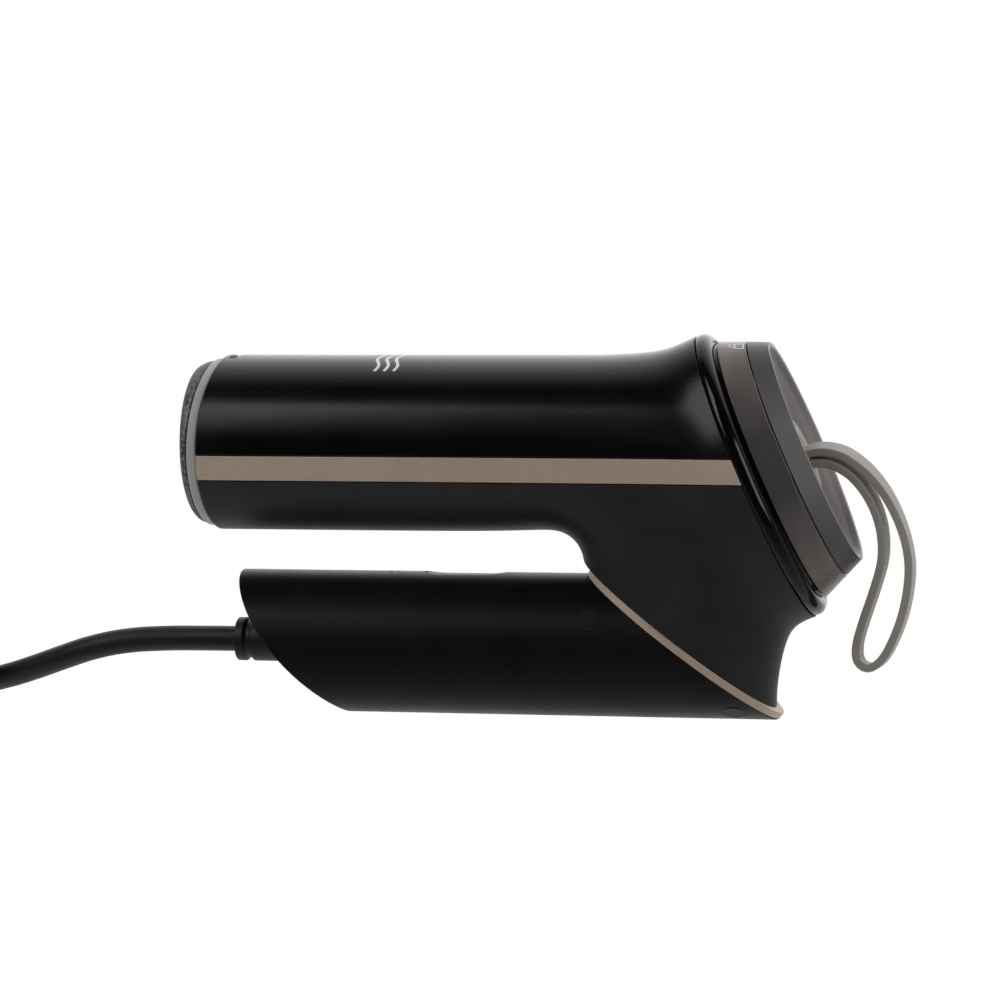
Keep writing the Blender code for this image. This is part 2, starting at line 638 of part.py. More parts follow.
def make_button(finish):
    inset = 2 * GAP
    cap = loft("steam_button", [stadium(BUTTON_X, 0, BUTTON_L - inset, BUTTON_W - inset, z)
                                for z in (BUTTON_BASE, BUTTON_BLANK)], finish["satin_black"])
    skin = turned("button_skin", Vector((0, 0, HANDLE_Z)), X_AXIS, [(-60, HANDLE_R), (0, HANDLE_R)],
                  finish["satin_black"], count=2 * SEGMENTS)
    boolean(cap, as_cutter(skin), "INTERSECT")
    steps = 9
    last = SPRING_TURNS * steps
    coil = []
    for index in range(last + 1):
        turn = 2 * math.pi * index / steps
        coil.append((SPRING_X + SPRING_R * math.cos(turn), SPRING_R * math.sin(turn),
                     SPRING_LOW + (SPRING_HIGH - SPRING_LOW) * index / last))
    tube("button_spring", coil, 0.4, finish["steel"], resolution=1)


# ---------------------------------------------------------------- mains lead

def make_lead(finish):
    black = finish["cord_black"]
    tube("cord_lead", smooth_path(CORD_ROUTE, 9.0), CORD_R, black, resolution=3)
    rings = [hank_outline(radius, z) for radius, z in (
        (HANK_OUTER, HANK_LOW), (HANK_OUTER, HANK_TOP), (HANK_INNER, HANK_TOP), (HANK_INNER, HANK_LOW))]
    loft("cord_hank", rings, black, closed=True)
    make_tie(finish)
    make_tail(finish)
    make_plug(finish)


def hank_outline(radius, z):
    """Two runs joined by half circles of the given radius."""
    middle = (HANK_LEFT + HANK_RIGHT) / 2
    return stadium(middle, HANK_Y, HANK_RUN + 2 * radius, 2 * radius, z, count=18)


def make_tie(finish):
    """A flat band round both runs of the hank."""
    middle = (HANK_LEFT + HANK_RIGHT) / 2
    inner, outer = GAP, GAP + TIE_T
    rings = []
    for half, grow in ((-TIE_W / 2, inner), (-TIE_W / 2, outer), (TIE_W / 2, outer), (TIE_W / 2, inner)):
        reach = HANK_OUTER + grow
        low, high = HANK_LOW - grow, HANK_TOP + grow
        rings.append([Vector((middle + half, HANK_Y + y, z)) for y, z in (
            (-reach, low), (reach, low), (reach, high), (-reach, high))])
    loft("hank_tie", rings, finish["silicone"], closed=True)


def make_tail(finish):
    """The lead's last stretch, which bends from the hank's near run into its middle."""
    first = 4
    points = []
    for index in range(first, TAIL_POINTS + 1):
        part = index / TAIL_POINTS
        bend = 3 * part ** 2 - 2 * part ** 3
        points.append((HANK_LEFT + TAIL_RUN * part - GAP * bend, HANK_Y - HANK_FOLD * (1 - bend), PLUG_Z))
    tube("cord_tail", points, CORD_R, finish["cord_black"], resolution=3)


def make_plug(finish):
    """A flat two-pin plug that lies inside the hank, its pins towards +X."""
    levels = ((0.0, 4.6, 4.6), (20.0, 6.2, 6.2), (22.0, 9.0, 6.8), (28.0, 15.5, 7.0),
              (38.0, 17.5, 7.0), (52.0, 17.0, 7.0), (55.0, 15.5, 6.0))
    turns = [2 * math.pi * index / PLUG_SIDES for index in range(PLUG_SIDES)]
    rings = []
    for far, half_w, half_h in levels:
        centre = Vector((PLUG_X + far, HANK_Y, PLUG_Z))
        rings.append([centre + Y_AXIS * half_w * shape(math.cos(turn))
                      + Z_AXIS * half_h * shape(math.sin(turn)) for turn in turns])
    loft("mains_plug", rings, finish["cord_black"])
    for word, side in (("left", 1), ("right", -1)):
        origin = Vector((PLUG_X, HANK_Y + side * PIN_SPACING / 2, PLUG_Z))
        profile = [(PIN_ROOT, PIN_R - 0.3), (PIN_ROOT, PIN_R), (PIN_TIP - 1, PIN_R), (PIN_TIP, PIN_R - 0.8)]
        turned(f"plug_pin_{word}", origin, X_AXIS, profile, finish["brass"], count=12)


def shape(value):
    """Pushes a circle towards a rounded rectangle."""
    return math.copysign(abs(value) ** 0.7, value)


def main():
    clear_scene()
    finish = make_finishes()
    make_housing(finish)
    make_steam_head(finish)
    make_water_circuit(finish)
    make_collar(finish)
    make_tank(finish)
    make_strap(finish)
    make_fold_joint(finish)
    make_handle(finish)
    make_lead(finish)


main()
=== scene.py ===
"""Looks of the folded travel garment steamer: fine shells, soft strap, mains lead and finishes.

Frame: +Z up, +X from the steam plate towards the water tank. Named sizes are in millimetres and
degrees unless they say otherwise; meshes are built in metres.
"""

import json
import math

import bmesh
import bpy
import numpy as np
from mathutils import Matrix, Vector


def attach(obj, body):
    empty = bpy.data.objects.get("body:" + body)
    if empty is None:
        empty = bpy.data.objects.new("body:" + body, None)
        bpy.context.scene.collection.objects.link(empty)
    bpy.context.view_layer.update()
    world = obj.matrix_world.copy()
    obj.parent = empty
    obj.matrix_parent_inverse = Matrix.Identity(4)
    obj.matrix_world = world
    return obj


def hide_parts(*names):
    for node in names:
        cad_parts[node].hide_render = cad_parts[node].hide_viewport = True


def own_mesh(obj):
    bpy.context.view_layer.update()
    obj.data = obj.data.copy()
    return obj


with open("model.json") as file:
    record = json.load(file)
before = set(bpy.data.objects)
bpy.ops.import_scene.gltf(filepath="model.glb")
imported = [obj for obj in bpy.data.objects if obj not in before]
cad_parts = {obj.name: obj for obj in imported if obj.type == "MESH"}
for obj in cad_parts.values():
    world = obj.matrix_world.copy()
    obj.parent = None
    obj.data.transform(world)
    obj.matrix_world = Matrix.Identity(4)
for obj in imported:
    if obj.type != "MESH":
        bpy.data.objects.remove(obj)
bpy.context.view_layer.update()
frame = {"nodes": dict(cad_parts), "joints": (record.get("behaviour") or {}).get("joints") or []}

MM = 0.001
GAP = 0.3
WALL = 2.2
SHARP = math.radians(40)
X_AXIS = Vector((1.0, 0.0, 0.0))
Y_AXIS = Vector((0.0, 1.0, 0.0))
Z_AXIS = Vector((0.0, 0.0, 1.0))
JOINTS = {joint["name"]: joint for joint in frame["joints"]}

# Body tube
BODY_R = 25.4
BODY_Z = 77.7
RIM_X = -98.4
RIM_SAG = 1.8
RIM_LEAN = 1.2
RIM_BLEND = 28.0
BEZEL_R = 24.3
BEZEL_BORE = 19.0
BEZEL_T = 2.9
PLATE_R = 23.6
PLATE_FACE_X = -104.8
# Radius and count of each ring of steam holes
PLATE_HOLES = ((0.0, 1), (7.5, 6), (15.0, 10))
STRIP_LOW_Z = 67.0
STRIP_HIGH_Z = 74.3
SEAM_HALF = 0.15
SHELL_EDGE = 0.22
CLIP_SLOT_LOW = Vector((-94.0, -7.0, 95.0))
CLIP_SLOT_HIGH = Vector((-91.7, 7.0, 110.0))

# Cage of the housing's skin, with a hole for the neck
CAGE_COUNT = 16
HOLE_FIRST = 5
HOLE_LAST = 11
HOLE_FRONT = 2
HOLE_REAR = 6
# x and z of the centre, lean in degrees, half height and half width of each ring of the cage
CAGE_RINGS = (
    (-125.0, BODY_Z, 0.0, BODY_R, BODY_R),
    (-60.0, BODY_Z, 0.0, BODY_R, BODY_R),
    (-9.0, BODY_Z, 0.0, BODY_R, BODY_R),
    (11.0, 77.6, 6.0, 25.6, 25.5),
    (27.5, 76.6, 13.0, 27.4, 25.9),
    (43.0, 73.4, 19.5, 32.6, 26.9),
    (54.8, 66.8, 23.4, 43.0, 28.1),
    (60.4, 69.2, 23.4, 43.2, 28.9),
    (67.6, 72.3, 23.4, 44.0, 29.6),
)
# front and rear points (x, z), half width and rise at the sides of each ring of the neck
NECK_RINGS = (
    (3.5, 53.4, 68.6, 23.5, 22.9, 12.0),
    (9.4, 49.0, 66.2, 14.0, 21.7, 2.0),
    (10.4, 43.0, 65.2, 4.0, 20.7, 0.0),
    (11.3, 36.0, 66.4, -4.0, 20.6, 0.0),
)
NECK_TOP = 50.5
SNAP = 0.3

# Collar plane and water tank
COLLAR = Vector((59.55, 0.0, 68.85))
COLLAR_A = 43.0
COLLAR_B = 28.8
COLLAR_COUNT = 144
TANK_MOUTH = 5.3
TANK_INSET = 3.8
TANK_TAPER = 0.44
WELD_AT = 12.6
PORT_DROP = 12.0
# Fade of the painted middle tone, from the middle of the tank's height: painted shade on the tank, painted
# glint on the cover
PAINTED_MIDDLE_FADE = (9.0, 26.0)
TANK_OUT = Vector(JOINTS["tank_release"]["axis"]).normalized()
TANK_UP = TANK_OUT.cross(Y_AXIS).normalized()

# Pull loop of the filler plug, in x and z
STRAP_PATH = (
    (74.3, 76.0), (79.0, 76.7), (84.5, 75.6), (89.8, 72.2), (94.6, 67.3), (98.7, 60.9),
    (101.9, 53.2), (103.5, 45.5), (103.3, 38.0), (101.6, 29.6), (98.6, 21.8), (95.6, 17.0),
    (92.1, 15.0), (89.2, 17.0), (88.9, 21.6), (90.8, 28.5), (93.6, 36.8), (95.9, 45.3),
    (95.9, 53.0), (94.0, 60.0), (90.6, 66.1), (86.2, 70.6), (80.6, 73.2), (75.2, 73.3),
)
STRAP_W = 9.0
STRAP_T = 2.3
STRAP_TWIST = math.radians(12)
STRAP_FADE = 0.3

# Handle and fold joint
HANDLE_R = 20.5
HANDLE_Z = 20.2
FOLD = Vector(JOINTS["handle_fold"]["pos_m"]) / MM
FOLD_OUT = Vector(JOINTS["handle_fold"]["axis"]).normalized()
FOLD_DOWN = Y_AXIS.cross(FOLD_OUT).normalized()
FOLD_A = HANDLE_R / FOLD_OUT.x
HUB_BORE = 8.8
SCREW_ANGLES = ((14.7, 23.9), (55.2, -62.0))
END_TOP = Vector((-91.6, 41.3))
END_BOTTOM = Vector((-58.6, -0.4))
END_SAG = 3.6
END_STEPS = 80
END_SPARE = 0.2
SLEEVE_COUNT = 144
SLEEVE_STEPS = 40
SLEEVE_EDGE = 0.35
SCREW_HOLE_R = 3.4
SCREW_COVER_R = 3.34
RELIEF_BORE = 6.6
BUTTON_X = -25.0
BUTTON_L = 24.0
BUTTON_W = 10.6
BUTTON_SINK = 0.2
RING_BASE = 0.25
RING_TOP = 2.45
RING_PLAY = 0.1
SPRING_X = BUTTON_X - 6.0
SPRING_LOW = 25.45
SPRING_HIGH = 33.0
SPRING_R = 3.0
SPRING_WIRE = 0.4
SPRING_COILS = 4
LENS_X = BUTTON_X - 21.0
LENS_BORE = 1.9

# Mains lead, with its length in metres
CORD_R = 3.7
CORD_EXIT = (-92.9, 0.0, 20.3)
CORD_TUCK = 1.5
CORD_ROUTE = (
    (-93.2, 0, 20.3), (-104, 0, 20.25), (-116, 0, 20.0), (-128, 0, 19.0), (-138, 0.6, 16.9),
    (-148, 3.0, 13.7), (-158, 6.5, 10.3), (-168, 10.6, 7.3), (-176.6, 14.2, 5.4), (-186, 17.6, 4.8),
    (-196, 20.4, 4.7),
)
HANK_RIGHT = -207.0
HANK_RUN = 144.0
HANK_LEFT = HANK_RIGHT - HANK_RUN
HANK_Y = -8.0
HANK_FOLD = 22.2
HANK_PITCH = 7.5
HANK_OUTER = HANK_FOLD + HANK_PITCH + CORD_R
HANK_LOW = 1.0
HANK_TOP = HANK_LOW + 2 * (HANK_PITCH + CORD_R)
TAIL_RUN = 84.0
PLUG_Z = 7.3
PLUG_X = HANK_LEFT + TAIL_RUN
PIN_SPACING = 19.0
PIN_ROOT = 55.0
PIN_TIP = 74.0
PIN_R = 2.0
TIE_W = 8.0
TIE_T = 0.6
TIE_PLAY = 0.1
# Ring counted inward and layer counted upward at the end of each run and fold of the hank
HANK_PLACES = (
    (0, 0), (0, 0), (0, 0), (0, 1), (0, 1), (0, 1), (0, 1), (0, 2),
    (0, 2), (1, 2), (1, 2), (1, 2), (1, 1), (1, 1), (1, 0.35),
)
RUN_STEPS = 12
FOLD_STEPS = 10

# Printed marks
INK = 0.03
MARK_X = -48.4
MARK_PITCH = 2.8
MARK_W = 0.9
MARK_SPREAD = 35.0
MARK_STEPS = 60
LOCK_LINE_W = 0.32

# Studio; places and distances in metres
CAMERA_AIM = Vector((-0.0149, 0.0, 0.0614))
CAMERA_AZIMUTH = 13.0
CAMERA_RISE = 2.2
CAMERA_RANGE = 1.25
CAMERA_LENS = 156.6
GLOW_ABOVE = (0.0, 0.819, 0.574)
ABOVE_LIGHT = 1.9
GLOW_BELOW = (0.0, 0.6, -0.8)
BELOW_LIGHT = 0.9
AIR_LIGHT = 0.03


# ---- finishes

def tone(red, green, blue):
    """A screen colour, 0 to 255, as linear red, green, blue and alpha."""
    linear = []
    for value in (red, green, blue):
        value /= 255
        linear.append(value / 12.92 if value <= 0.04045 else ((value + 0.055) / 1.055) ** 2.4)
    return (*linear, 1.0)


def set_inputs(node, values):
    """Set inputs of a node by their names."""
    for socket, value in values.items():
        node.inputs[socket].default_value = value


def new_finish(name, metallic=0.0, specular=0.5, transmission=0.0, ior=1.5, sheen=0.0):
    """A new material and its shader."""
    made = bpy.data.materials.new(name)
    made.use_nodes = True
    shader = made.node_tree.nodes["Principled BSDF"]
    set_inputs(shader, {"Metallic": metallic, "Specular IOR Level": specular, "IOR": ior,
                        "Transmission Weight": transmission, "Sheen Weight": sheen})
    return made, shader


def noise(tree, scale, detail, stretch=(1.0, 1.0, 1.0)):
    """Noise on the piece's own coordinates, stretched along its axes."""
    spot = tree.nodes.new("ShaderNodeTexCoord")
    mapping = tree.nodes.new("ShaderNodeMapping")
    mapping.inputs["Scale"].default_value = stretch
    texture = tree.nodes.new("ShaderNodeTexNoise")
    set_inputs(texture, {"Scale": scale, "Detail": detail})
    tree.links.new(spot.outputs["Object"], mapping.inputs["Vector"])
    tree.links.new(mapping.outputs["Vector"], texture.inputs["Vector"])
    return texture.outputs["Fac"]


def mapped(tree, source, low, high, new_low=0.0, new_high=1.0):
    """Rescale an output from one range to another, and hold it at both ends."""
    spread = tree.nodes.new("ShaderNodeMapRange")
    set_inputs(spread, {"From Min": low, "From Max": high, "To Min": new_low, "To Max": new_high})
    tree.links.new(source, spread.inputs["Value"])
    return spread.outputs["Result"]


def dotted(tree, vector, direction):
    """How far a vector output points along a fixed direction."""
    product = tree.nodes.new("ShaderNodeVectorMath")
    product.operation = "DOT_PRODUCT"
    product.inputs[1].default_value = direction
    tree.links.new(vector, product.inputs[0])
    return product.outputs["Value"]


def spread_from(tree, value, centre):
    """How far a value is from a centre, either way."""
    shift = tree.nodes.new("ShaderNodeMath")
    shift.operation = "SUBTRACT"
    shift.inputs[1].default_value = centre
    tree.links.new(value, shift.inputs[0])
    size = tree.nodes.new("ShaderNodeMath")
    size.operation = "ABSOLUTE"
    tree.links.new(shift.outputs["Value"], size.inputs[0])
    return size.outputs["Value"]


def blended(tree, factor, first, second):
    """Mix two colours; each is a fixed colour or another node's output."""
    mix = tree.nodes.new("ShaderNodeMix")
    mix.data_type = "RGBA"
    tree.links.new(factor, mix.inputs["Factor"])
    for socket, colour in ((mix.inputs["A"], first), (mix.inputs["B"], second)):
        if isinstance(colour, tuple):
            socket.default_value = colour
        else:
            tree.links.new(colour, socket)
    return mix.outputs["Result"]


def specks(tree, scale, radius):
    """A mask of small sparse dots, for dust on a moulded surface."""
    spot = tree.nodes.new("ShaderNodeTexCoord")
    cells = tree.nodes.new("ShaderNodeTexVoronoi")
    cells.inputs["Scale"].default_value = scale
    tree.links.new(spot.outputs["Object"], cells.inputs["Vector"])
    return mapped(tree, cells.outputs["Distance"], radius * 0.4, radius, 1.0, 0.0)


def join(tree, shader, colour, source, rough, heights):
    """Join a colour, a roughness that follows an output, and bumps of (output, metres) to a shader."""
    tree.links.new(colour, shader.inputs["Base Color"])
    tree.links.new(mapped(tree, source, 0.3, 0.7, *rough), shader.inputs["Roughness"])
    previous = None
    for height, distance in heights:
        bump = tree.nodes.new("ShaderNodeBump")
        bump.inputs["Distance"].default_value = distance
        tree.links.new(height, bump.inputs["Height"])
        if previous:
            tree.links.new(previous, bump.inputs["Normal"])
        previous = bump.outputs["Normal"]
    tree.links.new(previous, shader.inputs["Normal"])


def moulded(name, dark, light, rough, depth=0.00002, dust=0.0, **kind):
    """Moulded plastic or rubber: slow drift of tone, fine spark-eroded grain, faint flow marks."""
    made, shader = new_finish(name, **kind)
    tree = made.node_tree
    drift = noise(tree, 45.0, 3.0)
    fine = noise(tree, 2600.0, 2.0)
    colour = blended(tree, mapped(tree, drift, 0.35, 0.65), tone(*dark), tone(*light))
    colour = blended(tree, mapped(tree, fine, 0.3, 0.7, 0.0, 0.25), colour, tone(*light))
    if dust:
        colour = blended(tree, specks(tree, 260.0, dust), colour, tone(96, 94, 92))
    flow = noise(tree, 420.0, 1.0)
    join(tree, shader, colour, drift, rough, [(flow, depth * 0.6), (fine, depth)])
    return made


def brushed(name, dark, light, rough, metallic, stretch):
    """Metal or metallic paint with a grain drawn out along one direction."""
    made, shader = new_finish(name, metallic=metallic)
    tree = made.node_tree
    lines = noise(tree, 900.0, 3.0, stretch)
    drift = noise(tree, 60.0, 2.0)
    colour = blended(tree, mapped(tree, lines, 0.3, 0.7), tone(*dark), tone(*light))
    colour = blended(tree, mapped(tree, drift, 0.35, 0.65, 0.0, 0.4), colour, tone(*light))
    join(tree, shader, colour, lines, rough, [(lines, 0.00001)])
    return made


def cast_metal(name):
    """The plate's blasted, heat-stained aluminium."""
    made, shader = new_finish(name, metallic=0.75)
    tree = made.node_tree
    coarse = noise(tree, 900.0, 6.0)
    stains = noise(tree, 70.0, 4.0)
    colour = blended(tree, mapped(tree, coarse, 0.35, 0.65), tone(66, 64, 62), tone(150, 147, 142))
    colour = blended(tree, mapped(tree, stains, 0.4, 0.7, 0.0, 0.6), colour, tone(70, 67, 64))
    join(tree, shader, colour, coarse, (0.42, 0.75), [(stains, 0.00008), (coarse, 0.00009)])
    return made


def smoked(name, dark, light, painted_middle, rough, grain, depth, dish=None):
    """Smoked translucent plastic with cloudy drift.

    Its tone at the middle of the height is painted: painted shade of the dark inside on the tank's wall,
    a painted glint on the end cover. A dish faces the tank's way and gets a paler painted light.
    """
    made, shader = new_finish(name, transmission=0.15, ior=1.49, specular=0.2)
    tree = made.node_tree
    clouds = noise(tree, 55.0, 3.0, (1.0, 0.6, 0.5))
    fine = noise(tree, grain, 3.0)
    colour = blended(tree, mapped(tree, clouds, 0.3, 0.7), tone(*dark), tone(*light))
    spot = tree.nodes.new("ShaderNodeTexCoord")
    rise = dotted(tree, spot.outputs["Object"], TANK_UP)
    away = spread_from(tree, rise, COLLAR.dot(TANK_UP) * MM)
    near, far = (distance * MM for distance in PAINTED_MIDDLE_FADE)
    # Painted middle tone: painted shade of the dark inside on the tank, a painted glint on the cover
    colour = blended(tree, mapped(tree, away, near, far, 1.0, 0.0), colour, tone(*painted_middle))
    # Painted light: faces turned the tank's way, as in the dish, are painted paler
    if dish:
        surface = tree.nodes.new("ShaderNodeNewGeometry")
        painted_light_share = dotted(tree, surface.outputs["Normal"], TANK_OUT)
        colour = blended(tree, mapped(tree, painted_light_share, 0.5, 0.85), colour, tone(*dish))
    join(tree, shader, colour, fine, rough, [(fine, depth)])
    return made


def make_finishes():
    """Every finish, by name."""
    return {
        "gloss_black": moulded("gloss_black", (5, 5, 7), (9, 9, 11), (0.2, 0.26), dust=0.02, specular=0.25),
        "collar_black": moulded("collar_black", (6, 6, 7), (9, 9, 10), (0.07, 0.12), depth=0.000002,
                                specular=0.3),
        "satin_black": moulded("satin_black", (38, 38, 38), (45, 45, 45), (0.46, 0.54), dust=0.02,
                               specular=0.2),
        "handle_black": moulded("handle_black", (18, 18, 18), (24, 24, 24), (0.34, 0.42), dust=0.015,
                                specular=0.1),
        "taupe": brushed("taupe", (182, 160, 142), (204, 182, 163), (0.42, 0.55), 0.1, (1.0, 6.0, 6.0)),
        "grey_ring": moulded("grey_ring", (172, 172, 169), (186, 186, 183), (0.45, 0.55)),
        "plate_metal": cast_metal("plate_metal"),
        # The tank's darker middle tone is painted shade of its dark inside; the cover's paler middle tone
        # is a painted glint
        "smoked_body": smoked("smoked_body", (108, 99, 97), (146, 136, 132), (84, 82, 83), (0.2, 0.32),
                              1500.0, 0.00001),
        "smoked_cover": smoked("smoked_cover", (80, 80, 84), (110, 109, 113), (130, 128, 129), (0.3, 0.45),
                               # The paler dish colour is painted light on faces turned the tank's way
                               1800.0, 0.00005, dish=(176, 168, 166)),
        "weld": moulded("weld", (112, 90, 76), (146, 110, 86), (0.3, 0.4)),
        "silicone": moulded("silicone", (150, 144, 137), (164, 158, 150), (0.5, 0.62), sheen=0.1),
        "cord_black": moulded("cord_black", (22, 22, 22), (30, 30, 30), (0.44, 0.56), specular=0.3),
        "aluminium": brushed("aluminium", (186, 186, 186), (214, 214, 214), (0.3, 0.45), 1.0, (1, 1, 1)),
        "steel": brushed("steel", (168, 168, 168), (196, 196, 196), (0.22, 0.36), 1.0, (1, 8, 8)),
        "brass": brushed("brass", (176, 142, 86), (206, 172, 110), (0.22, 0.35), 1.0, (6, 1, 6)),
        "board_green": moulded("board_green", (26, 74, 42), (40, 98, 58), (0.3, 0.5)),
        "white_plastic": moulded("white_plastic", (196, 196, 190), (214, 214, 208), (0.4, 0.5)),
        "clear_hose": moulded("clear_hose", (190, 184, 168), (214, 208, 194), (0.25, 0.35),
                              transmission=0.5),
        "print_white": moulded("print_white", (238, 238, 242), (248, 248, 252), (0.5, 0.6)),
    }


FINISHES = make_finishes()


# ---- mesh tools

def place(data, body, finish, slot, *nodes):
    """Make a piece of a mesh or curve: its body, its finish and the CAD nodes that it stands for."""
    obj = bpy.data.objects.new(data.name, data)
    bpy.context.collection.objects.link(obj)
    obj.data.materials.append(FINISHES[finish])
    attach(obj, body)
    if nodes:
        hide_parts(*nodes)
    return obj


def turns(count):
    """Even steps of angle round a full circle."""
    return [2 * math.pi * index / count for index in range(count)]


def mesh_of(name, points, faces):
    """A smooth-shaded mesh from points in millimetres, its faces turned outward."""
    mesh = bpy.data.meshes.new(name)
    mesh.from_pydata([Vector(point) * MM for point in points], [], faces)
    work = bmesh.new()
    work.from_mesh(mesh)
    bmesh.ops.recalc_face_normals(work, faces=work.faces)
    work.to_mesh(mesh)
    work.free()
    mesh.shade_smooth()
    mesh.set_sharp_from_angle(angle=SHARP)
    return mesh


def ring_mesh(name, rings, closed=False):
    """Join rings of equal count; a closed one runs on to its first ring, an open one is capped."""
    count = len(rings[0])
    points = [point for ring in rings for point in ring]
    faces = []
    for span in range(len(rings) if closed else len(rings) - 1):
        here = span * count
        there = ((span + 1) % len(rings)) * count
        for index in range(count):
            after = (index + 1) % count
            faces.append((here + index, here + after, there + after, there + index))
    if not closed:
        faces.append(tuple(range(count))[::-1])
        faces.append(tuple(range(len(points) - count, len(points))))
    return mesh_of(name, points, faces)


def oval(centre, along, across, semi_a, semi_b, count=128):
    """Points of an ellipse, from its top round past the near side."""
    return [centre + along * semi_a * math.cos(turn) + across * semi_b * math.sin(turn)
            for turn in turns(count)]


def fillet(profile, radius, closed=False, steps=4):
    """Round the corners of a profile, with a support point on each side of every round."""
    spots = [Vector(point) for point in profile]
    made = []
    for index, spot in enumerate(spots):
        if not closed and index in (0, len(spots) - 1):
            made.append(spot)
            continue
        back = spots[index - 1] - spot
        ahead = spots[(index + 1) % len(spots)] - spot
        reach = min(radius, 0.4 * back.length, 0.4 * ahead.length)
        start = spot + back.normalized() * reach
        end = spot + ahead.normalized() * reach
        made.append(start + back.normalized() * reach * 0.2)
        for step in range(steps + 1):
            t = step / steps
            made.append(start * (1 - t) ** 2 + spot * 2 * t * (1 - t) + end * t ** 2)
        made.append(end + ahead.normalized() * reach * 0.2)
    return made


def turned_mesh(name, origin, axis, profile, closed=False, count=96):
    """Turn a profile of (distance along the axis, radius) pairs about that axis."""
    side = Y_AXIS if abs(axis.y) < 0.9 else X_AXIS
    up = side.cross(axis).normalized()
    side = axis.cross(up)
    rings = [oval(origin + axis * far, up, side, radius, radius, count) for far, radius in profile]
    return ring_mesh(name, rings, closed)


def smooth_path(points, step):
    """A smooth curve through given points, read about every step millimetres."""
    nodes = [Vector(point) for point in points]
    ends = [nodes[0] * 2 - nodes[1]] + nodes + [nodes[-1] * 2 - nodes[-2]]
    path = []
    for index in range(len(nodes) - 1):
        before, start, end, after = ends[index:index + 4]
        count = max(1, round((end - start).length / step))
        for part in range(count):
            t = part / count
            path.append(0.5 * (2 * start + (end - before) * t
                               + (2 * before - 5 * start + 4 * end - after) * t ** 2
                               + (3 * start - before - 3 * end + after) * t ** 3))
    path.append(nodes[-1])
    return path


def settle(obj):
    """Put what the modifiers make into the mesh itself."""
    graph = bpy.context.evaluated_depsgraph_get()
    mesh = bpy.data.meshes.new_from_object(obj.evaluated_get(graph))
    obj.modifiers.clear()
    obj.data = mesh


def cut_with(obj, meshes):
    """Take these closed meshes away from a piece."""
    tools = []
    for mesh in meshes:
        tool = bpy.data.objects.new("tool", mesh)
        bpy.context.collection.objects.link(tool)
        tools.append(tool)
        step = obj.modifiers.new("cut", "BOOLEAN")
        step.operation = "DIFFERENCE"
        step.object = tool
    settle(obj)
    for tool in tools:
        bpy.data.objects.remove(tool, do_unlink=True)
    obj.data.shade_smooth()
    obj.data.set_sharp_from_angle(angle=SHARP)


def smoothstep(value):
    """Ease from 0 to 1, level at both ends."""
    value = min(1.0, max(0.0, value))
    return value * value * (3 - 2 * value)


# ---- housing shells

def shrink_factor(count):
    """How much a subdivided ring of this many points pulls in from its cage."""
    return (2 + math.cos(2 * math.pi / count)) / 3


def housing_cage():
    """Points and faces of the cage: a tube that leans into the collar, with a neck under it."""
    points = []
    wide = 1 / shrink_factor(CAGE_COUNT)
    for x, z, lean, semi_a, semi_b in CAGE_RINGS:
        lean = math.radians(lean)
        up = Vector((-math.sin(lean), 0.0, math.cos(lean)))
        points += oval(Vector((x, 0.0, z)), up, -Y_AXIS, semi_a * wide, semi_b * wide, CAGE_COUNT)

    def vertex(ring, index):
        return ring * CAGE_COUNT + index % CAGE_COUNT

    faces = []
    for ring in range(len(CAGE_RINGS) - 1):
        for index in range(CAGE_COUNT):
            in_hole = HOLE_FRONT <= ring < HOLE_REAR and HOLE_FIRST <= index < HOLE_LAST
            if not in_hole:
                faces.append((vertex(ring, index), vertex(ring, index + 1),
                              vertex(ring + 1, index + 1), vertex(ring + 1, index)))

    middle = CAGE_COUNT // 2
    loop = [vertex(HOLE_FRONT, index) for index in range(middle, HOLE_FIRST - 1, -1)]
    loop += [vertex(ring, HOLE_FIRST) for ring in range(HOLE_FRONT + 1, HOLE_REAR)]
    loop += [vertex(HOLE_REAR, index) for index in range(HOLE_FIRST, HOLE_LAST + 1)]
    loop += [vertex(ring, HOLE_LAST) for ring in range(HOLE_REAR - 1, HOLE_FRONT, -1)]
    loop += [vertex(HOLE_FRONT, index) for index in range(HOLE_LAST, middle, -1)]

    count = len(loop)
    narrow = 1 / shrink_factor(count)
    for front_x, front_z, rear_x, rear_z, half_width, rise in NECK_RINGS:
        centre = Vector(((front_x + rear_x) / 2, 0.0, (front_z + rear_z) / 2))
        forward = Vector((front_x, 0.0, front_z)) - centre
        ring = []
        for turn in turns(count):
            point = centre + forward * math.cos(turn) * narrow
            point -= Y_AXIS * half_width * math.sin(turn) * narrow
            ring.append(point + Z_AXIS * rise * math.sin(turn) ** 2)
        start = len(points)
        points += ring
        for index in range(count):
            after = (index + 1) % count
            faces.append((loop[index], start + index, start + after, loop[after]))
        loop = [start + index for index in range(count)]
    return points, faces


def housing_skin():
    """The cage's smooth limit surface, as one open mesh."""
    cage = bpy.data.objects.new("housing_cage", mesh_of("housing_cage", *housing_cage()))
    bpy.context.collection.objects.link(cage)
    smooth = cage.modifiers.new("surface", "SUBSURF")
    smooth.levels = 3
    smooth.use_limit_surface = True
    settle(cage)
    skin = cage.data
    bpy.data.objects.remove(cage, do_unlink=True)
    return skin


